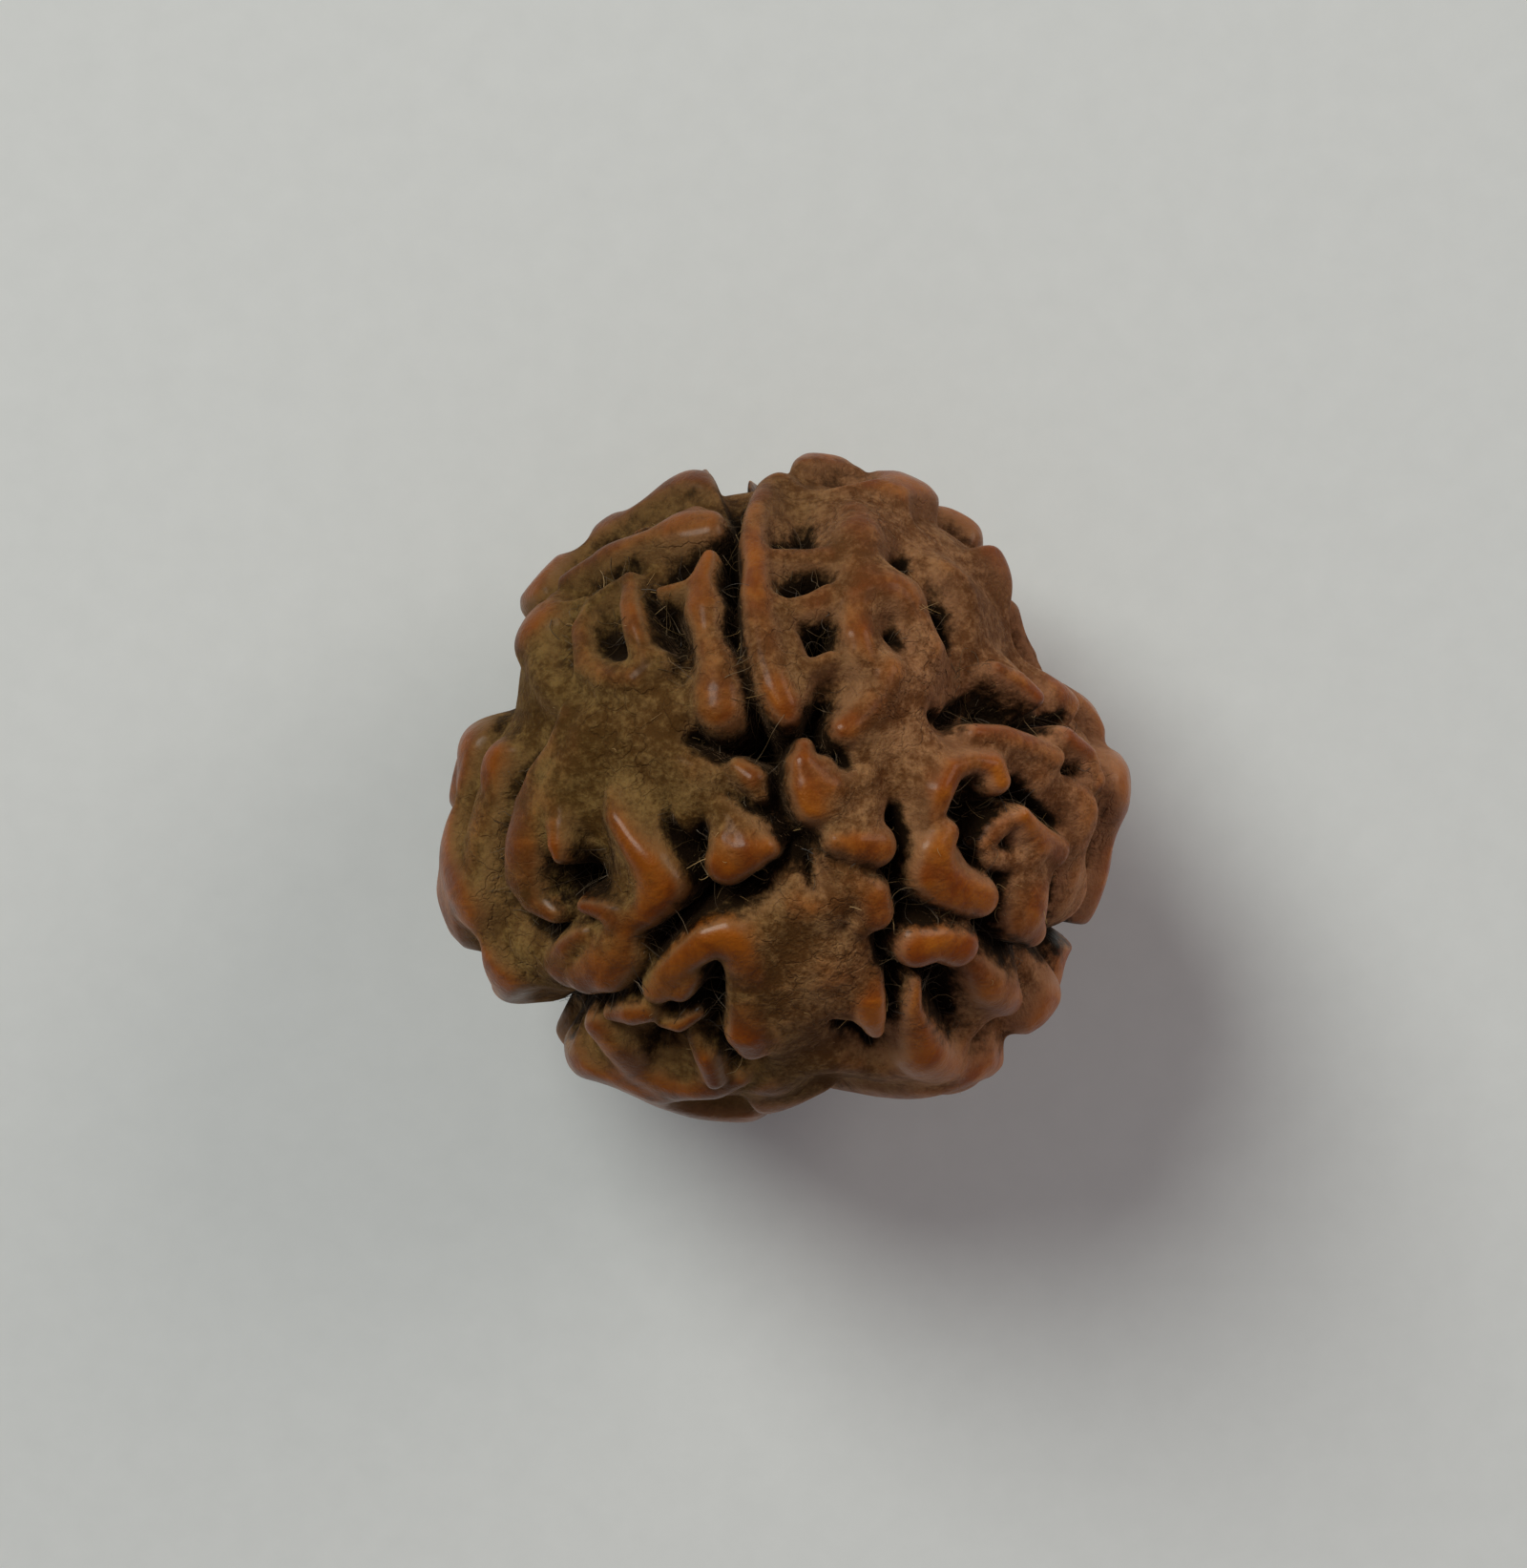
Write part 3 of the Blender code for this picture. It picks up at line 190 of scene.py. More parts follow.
# Ridges and knobs of the crown: runs of (x, y, crest height, half-width).
RIDGES = (
    # Star of knobs at the pole
    ((0.1, 3.1, -0.25, 0.45), (0.05, 2.5, 0.0, 0.62), (0.18, 1.75, 0.05, 0.80), (0.3, 1.0, 0.0, 0.66)),
    ((0.75, 2.3, -0.15, 0.60), (1.0, 1.7, -0.1, 0.75), (0.9, 1.15, -0.2, 0.65)),
    ((1.3, 1.8, -0.5, 0.60), (2.3, 1.9, -0.6, 0.60)),
    ((-1.2, -0.45, -0.1, 0.50), (-1.9, -0.65, 0.05, 0.70), (-2.65, -1.05, 0.0, 0.82)),
    ((-2.75, -0.35, -0.15, 0.64), (-2.65, -1.05, -0.05, 0.66)),
    ((-2.2, 0.1, -0.45, 0.55), (-2.7, 0.9, -0.6, 0.60)),
    ((1.15, -0.25, 0.0, 0.48), (1.9, -0.4, 0.05, 0.68), (2.65, -0.45, 0.0, 0.80)),
    ((2.3, 0.1, -0.35, 0.60), (2.4, 0.9, -0.6, 0.70)),
    ((-0.2, -0.8, -1.4, 0.25), (-0.6, -1.3, -1.0, 0.42), (-0.9, -1.65, -1.05, 0.48)),
    ((1.0, -0.95, -0.6, 0.35), (1.8, -1.55, -0.2, 0.62), (2.55, -2.2, 0.0, 0.72), (2.7, -2.9, -0.05, 0.76),
     (2.3, -3.4, -0.3, 0.60)),
    ((1.5, -2.3, -0.45, 0.80), (1.3, -3.0, -0.6, 0.80)),
    ((-2.3, 2.35, -0.5, 0.55), (-1.75, 1.95, -0.35, 0.62), (-1.5, 1.5, -0.5, 0.45)),
    # Upper lobe: the long ridge beside the first cleft, its cross bars and the second ridge
    ((-0.9, 15.4, -0.6, 0.80), (-1.2, 14.0, -0.4, 0.75), (-1.55, 12.8, -0.3, 0.65),
     (-1.7, 11.4, -0.2, 0.64), (-1.55, 10.0, -0.1, 0.62), (-1.6, 8.9, 0.0, 0.68),
     (-1.45, 7.5, 0.05, 0.72), (-1.25, 6.3, 0.05, 0.78), (-0.95, 5.3, 0.05, 0.78),
     (-0.6, 4.6, 0.0, 0.68), (-0.5, 4.3, -0.1, 0.56)),
    ((-0.5, 7.2, -0.5, 0.70), (-0.1, 5.8, -0.4, 0.75), (0.0, 5.0, -0.45, 0.45)),
    ((-1.2, 8.7, -0.3, 0.55), (-0.4, 8.3, -0.35, 0.60), (0.5, 8.45, -0.25, 0.60), (1.3, 8.8, -0.25, 0.70)),
    ((-1.4, 10.6, -0.4, 0.58), (-0.4, 10.6, -0.42, 0.60), (0.6, 10.55, -0.4, 0.60),
     (1.4, 10.6, -0.35, 0.70)),
    ((-0.9, 6.2, -0.3, 0.55), (0.2, 5.95, -0.35, 0.45), (1.2, 6.4, -0.4, 0.45)),
    ((2.8, 12.8, -0.4, 0.80), (2.75, 11.4, -0.1, 1.15), (2.5, 10.2, -0.15, 1.00), (2.3, 9.2, -0.15, 0.88),
     (2.15, 8.2, -0.15, 0.72), (2.15, 7.2, -0.05, 0.70), (2.4, 6.3, -0.3, 0.70)),
    ((3.3, 9.8, -0.3, 0.90), (4.3, 9.0, -0.35, 0.95), (4.7, 7.9, -0.35, 0.90), (5.2, 6.9, -0.45, 0.80)),
    ((1.55, 3.7, -0.1, 0.64), (2.3, 4.3, -0.25, 0.75), (2.9, 5.0, -0.3, 0.75), (3.3, 5.8, -0.2, 0.68)),
    # Upper left lobe: the tooth beside the first cleft and the ring
    ((-3.45, 10.6, -0.2, 0.50), (-3.75, 9.55, -0.1, 0.62), (-3.6, 8.4, 0.0, 0.85),
     (-3.45, 7.3, -0.15, 0.66),
     (-3.05, 6.1, 0.0, 0.80), (-3.0, 5.1, 0.1, 0.95), (-3.0, 4.6, 0.05, 0.98)),
    ((-3.8, 9.4, -0.2, 0.45), (-4.65, 9.4, -0.3, 0.42), (-5.55, 9.4, -0.4, 0.36)),
    ((-6.85, 9.9, -0.25, 0.55), (-6.7, 8.7, -0.1, 0.60), (-6.4, 7.7, -0.1, 0.62),
     (-6.1, 6.8, -0.25, 0.65)),
    ((-6.9, 10.1, -0.3, 0.45), (-7.9, 9.8, -0.4, 0.50), (-8.8, 9.2, -0.4, 0.55), (-9.0, 7.95, -0.25, 0.65),
     (-8.6, 6.5, -0.3, 0.70), (-7.6, 5.8, -0.3, 0.70), (-6.4, 5.8, -0.3, 0.80), (-5.5, 6.4, -0.35, 0.65)),
    ((-11.2, 9.8, -0.4, 0.80), (-11.6, 8.2, -0.35, 1.00), (-11.2, 6.6, -0.4, 1.00),
     (-10.4, 5.4, -0.5, 0.80)),
    ((-11.0, 11.0, -0.35, 0.50), (-8.4, 11.7, -0.2, 0.55), (-6.2, 12.0, -0.15, 0.60),
     (-4.8, 12.3, -0.1, 0.85),
     (-3.6, 12.4, -0.15, 0.85)),
    # Left lobe: the curved ridge, the big knob and the rim
    ((-7.1, 1.3, -0.5, 0.35), (-6.75, 0.4, -0.15, 0.50), (-6.0, -0.45, -0.05, 0.60),
     (-5.3, -1.15, 0.05, 0.75),
     (-4.95, -1.9, 0.1, 0.90), (-5.2, -2.4, 0.05, 0.85)),
    ((-8.0, -3.05, -0.2, 0.45), (-7.1, -3.1, -0.05, 0.55), (-6.2, -3.35, 0.0, 0.70),
     (-5.6, -3.0, 0.0, 0.70)),
    ((-6.5, -3.9, 0.0, 0.80), (-6.75, -4.8, 0.05, 1.05), (-7.3, -5.6, 0.05, 1.10),
     (-8.1, -6.1, -0.1, 0.95),
     (-9.0, -6.3, -0.35, 0.85)),
    ((-8.2, -4.3, -0.25, 0.50), (-8.9, -5.0, -0.2, 0.60), (-9.4, -5.9, -0.4, 0.80)),
    ((-9.5, 0.7, -0.45, 0.60), (-9.25, -0.1, -0.15, 0.60), (-9.1, -0.8, -0.05, 0.52),
     (-9.05, -1.3, -0.2, 0.40)),
    ((-9.3, 4.4, -0.45, 0.50), (-9.9, 3.0, -0.45, 0.50), (-10.8, 1.8, -0.4, 0.55),
     (-11.0, 0.5, -0.3, 0.95),
     (-10.9, -0.9, -0.2, 1.05), (-10.8, -2.3, -0.25, 0.95), (-10.4, -3.3, -0.35, 0.70),
     (-9.5, -3.75, -0.4, 0.50)),
    ((-13.4, 2.2, -0.55, 0.80), (-14.0, 0.4, -0.5, 1.00), (-14.1, -1.6, -0.5, 1.00),
     (-13.7, -3.4, -0.55, 0.80)),
    ((-8.3, 4.0, -0.5, 0.90), (-9.0, 2.6, -0.45, 1.10), (-9.9, 1.3, -0.42, 1.10), (-10.3, 0.0, -0.4, 0.90)),
    # Lower lobe: the bent ridge, the hanging tooth and the swellings
    ((-5.25, -6.25, -0.1, 0.72), (-4.8, -5.4, 0.0, 0.70), (-4.15, -4.65, 0.05, 0.70),
     (-3.35, -3.95, 0.1, 0.78),
     (-2.6, -3.7, 0.0, 0.78)),
    ((-4.4, -6.25, -0.15, 0.58), (-3.95, -5.5, -0.15, 0.50)),
    ((-2.3, -4.2, -0.1, 0.75), (-2.0, -5.1, -0.15, 0.80), (-1.9, -6.2, -0.25, 0.85),
     (-1.9, -7.3, -0.15, 0.85),
     (-1.95, -8.1, 0.0, 0.85), (-1.7, -8.9, -0.15, 0.75)),
    ((-3.9, -8.2, -1.0, 0.50), (-3.9, -8.9, -0.5, 0.60), (-3.5, -9.7, -0.2, 0.62),
     (-3.1, -10.9, -0.05, 0.50)),
    ((-7.3, -7.9, -0.4, 0.50), (-6.3, -7.5, -0.1, 0.68), (-5.7, -7.3, -0.1, 0.60)),
    ((-5.2, -7.9, -0.35, 0.42), (-4.5, -7.85, -0.2, 0.50), (-3.8, -7.4, -0.4, 0.42)),
    ((-8.0, -8.9, -0.4, 0.80), (-7.1, -10.2, -0.35, 0.90), (-6.5, -11.6, -0.35, 0.80),
     (-5.1, -12.4, -0.3, 0.80),
     (-3.2, -12.0, -0.3, 0.70), (-2.2, -11.3, -0.35, 0.60)),
    ((2.9, -5.5, -0.5, 0.50), (2.8, -6.6, -0.15, 0.65), (2.9, -7.5, -0.15, 0.65),
     (3.1, -8.1, -0.25, 0.50)),
    # Right lobe: the claw, the fat bent knob, the spur and the finger
    ((4.9, 0.5, -0.25, 0.50), (5.1, 1.4, 0.0, 0.56), (5.6, 2.2, -0.05, 0.54), (6.5, 2.45, -0.1, 0.50),
     (7.3, 2.25, 0.0, 0.60), (7.5, 1.7, 0.0, 0.62)),
    ((5.3, -0.1, -0.05, 0.60), (4.85, -0.8, 0.05, 0.80), (4.75, -1.5, 0.1, 0.90), (5.3, -2.05, 0.05, 0.90),
     (6.1, -2.4, 0.05, 0.90), (6.9, -2.75, 0.0, 0.85)),
    ((8.5, 0.35, -0.05, 0.45), (9.1, -0.3, -0.15, 0.60), (9.9, -0.9, -0.25, 0.70),
     (10.9, -1.5, -0.3, 0.75)),
    ((8.3, 0.2, -0.3, 0.50), (7.7, -0.2, -0.4, 0.60), (7.3, -0.75, -0.5, 0.55)),
    ((7.5, -1.35, -0.5, 0.55), (8.4, -1.5, -0.4, 0.65), (9.3, -1.3, -0.3, 0.75)),
    ((8.8, -0.5, -0.35, 0.55), (9.6, -1.0, -0.3, 0.70)),
    ((9.1, -1.9, -0.3, 0.80), (9.2, -3.0, -0.15, 1.15), (9.3, -4.0, -0.1, 1.15), (9.9, -4.8, -0.2, 0.80)),
    ((8.6, 6.3, -0.4, 0.50), (9.7, 5.8, -0.3, 0.60), (10.7, 5.1, -0.3, 0.55)),
    ((7.0, 3.6, -0.4, 0.50), (8.4, 3.4, -0.3, 0.60), (9.6, 3.0, -0.35, 0.65), (10.9, 2.5, -0.4, 0.60)),
    ((12.0, 3.3, -0.35, 0.60), (13.0, 2.4, -0.35, 0.60), (13.4, 1.2, -0.4, 0.60)),
    # Knobs below the third cleft
    ((4.4, -4.3, 0.1, 0.92), (5.2, -4.25, 0.05, 0.82), (6.05, -4.55, 0.05, 0.92)),
    ((7.1, -5.8, -0.3, 0.65), (7.8, -6.7, -0.2, 0.90), (8.6, -7.4, -0.25, 0.90), (9.4, -8.2, -0.35, 0.80)),
    ((4.65, -6.1, -0.6, 0.40), (4.55, -7.3, -0.4, 0.55), (4.9, -8.6, -0.3, 0.90), (5.3, -9.7, -0.1, 1.15),
     (6.1, -10.6, -0.2, 1.10), (6.9, -11.1, -0.4, 0.90)),
)

# Between the ridges the crown lies a little below the body, in slow and quick swells.
PLATEAU = -0.62
SLOW_SWELL = 0.15
SLOW_SCALE = 0.35
SLOW_SHIFT = 40.0
QUICK_SWELL = 0.12
QUICK_SCALE = 1.25
QUICK_SHIFT = 80.0

# The net of the flank and the underside: how far out from the pole it takes over, how long its waves
# are, how deep its grooves are and how much its wall tops dip.
NET_FROM = 12.6
NET_FULL = 14.6
NET_WAVER = 0.5
NET_SHALLOW = 0.42
NET_DEEPER = 15.8
NET_DEEP = 20.5
NET_WAVE = 3.3
NET_WAVES = 40
NET_SEED = 26
NET_FLOOR = -2.0
GROOVE_LOW = -0.85
GROOVE_HIGH = 0.25
TOP_DIP = 0.4
TOP_LOW = 0.1
TOP_HIGH = 1.4

# A ridge has a rounded top, and a soft shoulder and a wide apron where nothing is cut away beside it.
APRON_DROP = 0.30
APRON_FALL = 0.065
APRON_REACH = 4.2
APRON_BLEND = 0.30
SHOULDER_DROP = 1.35
SHOULDER_SPREAD = 1.75
SHOULDER_POWER = 2.2
SHOULDER_REACH = 3.6
SHOULDER_BLEND = 0.40
TOP_LOWER = 0.06
TOP_ROUNDING = 0.30
TOP_SIDE = 0.22
TOP_REACH = 2.1
TOP_BLEND = 0.35

# A hollow has a soft bowl round it and steep walls.
BOWL_SHARE = 0.36
BOWL_SPREAD = 1.9
BOWL_REACH = 4.0
WALL_HEIGHT = 0.3
WALL_LIMIT = 3.0
WALL_REACH = 1.5
WALL_BLEND = 0.35

# How far out from the pole the valleys and clefts of the flank start and end.
VALLEY_FROM = 10.0
VALLEY_FULL = 15.0
CLEFT_FROM = 14.0
CLEFT_FULL = 15.4
CLEFT_FADE = 28.5
CLEFT_END = 31.5
CLEFT_BEND = 0.45
CLEFT_LIFT = 6.0

# The scar's rim rounds off over this width; only the lower part of the seed is cut level with it.
SCAR_EDGE = 1.4
LOWER_PART = 0.2


def smooth_step(low, high, value):
    share = np.clip((value - low) / (high - low), 0.0, 1.0)
    return share * share * (3.0 - 2.0 * share)


def smooth_max(first, second, blend):
    share = np.clip(0.5 + 0.5 * (first - second) / blend, 0.0, 1.0)
    return second + (first - second) * share + blend * share * (1.0 - share)


def smooth_min(first, second, blend):
    return -smooth_max(-first, -second, blend)


def rim_radius(azimuth):
    """Half-width of the seed at each azimuth in degrees, eased from one named place to the next."""
    places = RIM + ((RIM[0][0] + 360, RIM[0][1]),)
    turned = np.mod(azimuth - RIM[0][0], 360.0) + RIM[0][0]
    radius = np.zeros_like(turned)
    for (low, first), (high, second) in zip(places, places[1:]):
        here = (turned >= low) & (turned <= high)
        radius[here] = first + (second - first) * smooth_step(low, high, turned[here])
    return radius


def body_radius(direction):
    azimuth = np.degrees(np.arctan2(direction[:, 1], direction[:, 0]))
    level = direction[:, 0] ** 2 + direction[:, 1] ** 2
    across = CROWN_RADIUS * (1.0 - level) + rim_radius(azimuth) * level
    return 1.0 / np.sqrt(level / across**2 + direction[:, 2] ** 2 / POLE_RADIUS**2)


def run_field(x, y, run, profile):
    """Best profile value along a run of points, for the places near it."""
    best = None
    ends = run if len(run) > 1 else run * 2
    for (x0, y0, level0, wide0), (x1, y1, level1, wide1) in zip(ends, ends[1:]):
        along = np.array((x1 - x0, y1 - y0))
        length = max(float(along @ along), TINY)
        share = np.clip(((x - x0) * along[0] + (y - y0) * along[1]) / length, 0.0, 1.0)
        away = np.hypot(x - x0 - share * along[0], y - y0 - share * along[1])
        ratio = away / (wide0 + (wide1 - wide0) * share)
        value = profile(ratio, level0 + (level1 - level0) * share)
        best = value if best is None else np.where(value > best, value, best)
    return best


def near_run(x, y, run, reach):
    spots = np.array(run)
    pad = reach * spots[:, 3].max()
    inside = (x > spots[:, 0].min() - pad) & (x < spots[:, 0].max() + pad)
    return np.nonzero(inside & (y > spots[:, 1].min() - pad) & (y < spots[:, 1].max() + pad))[0]


def apron_profile(ratio, crest):
    return crest - APRON_DROP - APRON_FALL * ratio**2


def shoulder_profile(ratio, crest):
    return crest - SHOULDER_DROP * (1.0 - np.exp(-((ratio / SHOULDER_SPREAD) ** SHOULDER_POWER)))


def top_profile(ratio, crest):
    return crest - TOP_LOWER - TOP_ROUNDING * ratio**2 - TOP_SIDE * ratio**6


def wall_profile(ratio, floor):
    return -floor - (WALL_HEIGHT - floor) * np.minimum(ratio, WALL_LIMIT) ** 3


def bowl_profile(ratio, floor):
    return -BOWL_SHARE * floor * np.exp(-((ratio / BOWL_SPREAD) ** 2))


def net_field(points):
    rng = np.random.default_rng(NET_SEED)
    turn = rng.normal(size=(NET_WAVES, 3))
    turn /= np.linalg.norm(turn, axis=1)[:, None]
    phase = rng.uniform(0.0, 2.0 * np.pi, NET_WAVES)
    total = np.zeros(len(points))
    for heading, start in zip(turn, phase):
        total += np.cos(points @ heading * (2.0 * np.pi / NET_WAVE) + start)
    return total * np.sqrt(2.0 / NET_WAVES)


def base_height(points, out):
    """Plateau of the crown, passing into the labyrinth net of the flank."""
    net = net_field(points)
    slow = net_field(points * SLOW_SCALE + SLOW_SHIFT)
    quick = net_field(points * QUICK_SCALE + QUICK_SHIFT)
    knotty = NET_FLOOR * (1.0 - smooth_step(GROOVE_LOW, GROOVE_HIGH, net))
    knotty -= TOP_DIP * (1.0 - smooth_step(TOP_LOW, TOP_HIGH, net))
    knotty *= NET_SHALLOW + (1.0 - NET_SHALLOW) * smooth_step(NET_DEEPER, NET_DEEP, out)
    share = smooth_step(NET_FROM, NET_FULL, out + NET_WAVER * slow)
    return (PLATEAU + SLOW_SWELL * slow + QUICK_SWELL * quick) * (1.0 - share) + knotty * share


def flank_cuts(height, azimuth, out, around):
    """Smooth valleys and deep clefts that run down the flank."""
    for middle, wide, depth in VALLEYS:
        off = np.radians(np.mod(azimuth - middle + 180.0, 360.0) - 180.0) * around
        height -= depth * np.exp(-((off / wide) ** 2)) * smooth_step(VALLEY_FROM, VALLEY_FULL, out)
    for middle, sway, wide, floor in CLEFTS:
        bend = sway * np.sin((out - VALLEY_FULL) * CLEFT_BEND)
        off = np.radians(np.mod(azimuth - middle - bend + 180.0, 360.0) - 180.0) * around
        value = -wall_profile(np.abs(off) / wide, floor)
        value += CLEFT_LIFT * (1.0 - smooth_step(CLEFT_FROM, CLEFT_FULL, out))
        value += CLEFT_LIFT * smooth_step(CLEFT_FADE, CLEFT_END, out)
        height = smooth_min(height, value, WALL_BLEND)
    return height


def raise_runs(height, x, y, profile, reach, blend):
    for run in RIDGES:
        here = near_run(x, y, run, reach)
        value = run_field(x[here], y[here], run, profile)
        height[here] = smooth_max(height[here], value, blend)


def sink_runs(height, x, y):
    for run in HOLLOWS:
        here = near_run(x, y, run, BOWL_REACH)
        height[here] -= run_field(x[here], y[here], run, bowl_profile)
    for run in HOLLOWS:
        here = near_run(x, y, run, WALL_REACH)
        value = -run_field(x[here], y[here], run, wall_profile)
        height[here] = smooth_min(height[here], value, WALL_BLEND)


def height_of(direction):
    """Height above the body, in millimetres, for each direction from the middle."""
    azimuth = np.degrees(np.arctan2(direction[:, 1], direction[:, 0]))
    out = MAP_RADIUS * np.arccos(np.clip(direction[:, 2], -1.0, 1.0))
    flat = np.hypot(direction[:, 0], direction[:, 1]) + TINY
    x = out * direction[:, 0] / flat
    y = out * direction[:, 1] / flat
    height = base_height(direction * body_radius(direction)[:, None], out)
    height = flank_cuts(height, azimuth, out, MAP_RADIUS * flat)
    raise_runs(height, x, y, apron_profile, APRON_REACH, APRON_BLEND)
    raise_runs(height, x, y, shoulder_profile, SHOULDER_REACH, SHOULDER_BLEND)
    sink_runs(height, x, y)
    raise_runs(height, x, y, top_profile, TOP_REACH, TOP_BLEND)
    return height


def seed_points(direction):
    """Surface of the seed in millimetres, with the middle at the origin."""
    reach = body_radius(direction) + height_of(direction)
    down = MAP_RADIUS * np.arccos(np.clip(-direction[:, 2], -1.0, 1.0))
    pad = SCAR_DEPTH / np.maximum(-direction[:, 2], LOWER_PART)
    share = smooth_step(SCAR_RADIUS + SCAR_EDGE, SCAR_RADIUS, down)
    reach = reach * (1.0 - share) + pad * share
    reach = np.where(direction[:, 2] < -LOWER_PART, np.minimum(reach, pad), reach)
    return direction * reach[:, None]


# Camera, in millimetres: x and y of the unit direction from the seed to it, its distance, the nearest
# distance that it sees, the photograph's size in pixels, the size of one pixel, and the pixel where the
# seed's axis falls.
VIEW_LEAN = (-0.0575, 0.131)
VIEW_DISTANCE = 150.0
NEAREST_SEEN = 10.0
PHOTO_WIDTH = 1600
PHOTO_HEIGHT = 1643
PHOTO_MM = 0.03338
AXIS_PIXEL = (820.0, 832.0)

# Lights and floor, in metres, watts and linear colours. The paper's tooth is a noise, as those below.
SEED_MIDDLE = (0.0, 0.0, 0.01)
WINDOW = {"place": (-0.443, 0.528, 0.589), "size": 0.45, "power": 5.95, "colour": (0.97, 1.0, 0.94)}
ROOM_SIDE = {"place": (0.60, 0.495, 0.445), "size": 0.54, "power": 2.20, "colour": (1.0, 0.91, 0.84)}
ROOM_COLOUR = (0.99, 0.91, 1.0, 1.0)
ROOM_STRENGTH = 0.150
FLOOR_SIZE = 1.2
PAPER_COLOURS = ((0.70, 0.72, 0.71, 1.0), (0.76, 0.78, 0.77, 1.0))
PAPER_TOOTH = (700.0, 4.0, 0.6, 0.0)

# Openness of a place: how many short rays leave it, their reach, how far off the surface they start,
# and the seed of their draw.
OPEN_RAYS = 20
OPEN_REACH = 3.0
OPEN_START = 0.04
OPEN_SEED = 5

# Passes that even a value over the mesh before it is used or taken away.
RELIEF_PASSES = 160
EDGE_PASSES = 8
OPEN_PASSES = 4
SLOPE_PASSES = 3

# Noises: waves per metre, detail, roughness and distortion.
NOISES = {
    "patch": (180.0, 2.0, 0.5, 0.0),
    "cloud": (330.0, 3.0, 0.55, 0.8),
    "blotch": (520.0, 4.0, 0.62, 0.5),
    "speck": (2600.0, 4.0, 0.7, 0.0),
    "grit": (7000.0, 2.0, 0.6, 0.0),
}
CRACK_CELLS = 900.0
CRACK_BEND = 0.0022

# Colours as they look on a screen, 0 to 255. Where there are two, the first is for the darker patches, and
# the first frost and sheen colour is for the seed's left side. The right side's colours are lighter and
# pinker than the left's: partly the seed's own tint, partly painted light that stands in for the lamps from
# the right.
LEFT_WORN_SHADED = ((92, 41, 2), (126, 64, 4))
RIGHT_WORN_LIT = ((132, 61, 8), (162, 91, 20))
LEFT_DUST_SHADED = ((70, 46, 17), (116, 90, 50))
RIGHT_DUST_LIT = ((102, 61, 33), (160, 114, 79))
# Frost on open slopes: partly pale dust, partly painted sheen; the first is for the left side.
FROST_AND_SHEEN = ((116, 85, 50), (152, 106, 76))
# Dark ground of the hollows: partly the seed's own darker ground, partly painted shade.
HOLLOW_GROUND_AND_SHADE = (54, 31, 12)
CRACK = (44, 24, 10)
# Pale crests: partly rubbed edges, partly a painted highlight along sharp crests.
RUBBED_EDGE_AND_HIGHLIGHT = (192, 146, 98)
# Near-black painted shade of the pits, also the colour of the dirt specks at its edge.
PIT_SHADE_AND_DIRT_COLOUR = (20, 10, 4)
FIBRE_COLOURS = ((28, 16, 7), (176, 140, 86))

# Each rule of the colours: the share of each value in a sum, and the sums where it starts and is full.
# The values x, y and z are metres.
WORN = {"relief": 0.55, "level": 0.45, "edge": 0.9, "y": -13.0, "cloud": 0.8, "speck": 0.35, "flank": 0.22}
WORN_RANGE = (0.38, 0.98)
FLANK_RANGE = (0.018, 0.011)
# Share of the right side's colours by place: partly the seed's own tint, partly painted light that makes
# the right side lighter.
SIDE_TINT_AND_LIGHT = {"x": 0.9, "y": 0.15, "patch": 0.012}
SIDE_TINT_AND_LIGHT_RANGE = (0.0, 0.015)
WORN_PATCHES = (0.38, 0.62)
MOTTLE = {"speck": 0.5, "blotch": 0.5, "grit": 0.2}
MOTTLE_RANGE = (0.51, 0.75)
# Where the relief is low, in hollows and at the foot of ridges: dark ground, partly the seed's own, partly
# painted shade of the recesses.
HOLLOW_GROUND_AND_SHADE_RULE = {"relief": 1.0, "blotch": 0.5}
HOLLOW_GROUND_AND_SHADE_RANGE = (0.0, -0.80)
# Painted shade: where few short rays leave the surface, in pits and clefts, the colour goes near black;
# specks and blotches add dark dirt at its edge.
PIT_SHADE_AND_DIRT = {"free": 1.0, "speck": 0.75, "blotch": 0.5}
PIT_SHADE_AND_DIRT_RANGE = (1.445, 0.985)
# Pale line on sharp crests and edges: partly rubbed wear, partly a painted highlight.
RUBBED_EDGE_AND_HIGHLIGHT_RANGE = (0.15, 0.27)
RUBBED_EDGE_AND_HIGHLIGHT_PATCHES = (0.34, 0.52)
CRACK_RANGE = (0.06, 0.0)
CRACK_PATCHES = (0.48, 0.60)
# Pale band on steep but open slopes: partly dusty frost, partly painted sheen.
FROST_AND_SHEEN_SLOPE = (0.10, 0.42)
FROST_AND_SHEEN_OPEN = (0.40, 0.80)
FROST_AND_SHEEN_SPREAD = {"blotch": 0.9}
FROST_AND_SHEEN_LEAST = 0.15
# Painted light: the whole colour is darker towards +y, the top of the view, and lighter towards -y, the
# bottom.
PAINTED_LIGHT_GRADIENT = {"y": -26.0}
PAINTED_LIGHT_MIDDLE = 1.02

# How strongly a colour covers what lies under it.
HOLLOW_GROUND_AND_SHADE_COVER = 0.75
CRACK_COVER = 0.20
RUBBED_EDGE_AND_HIGHLIGHT_COVER = 0.6

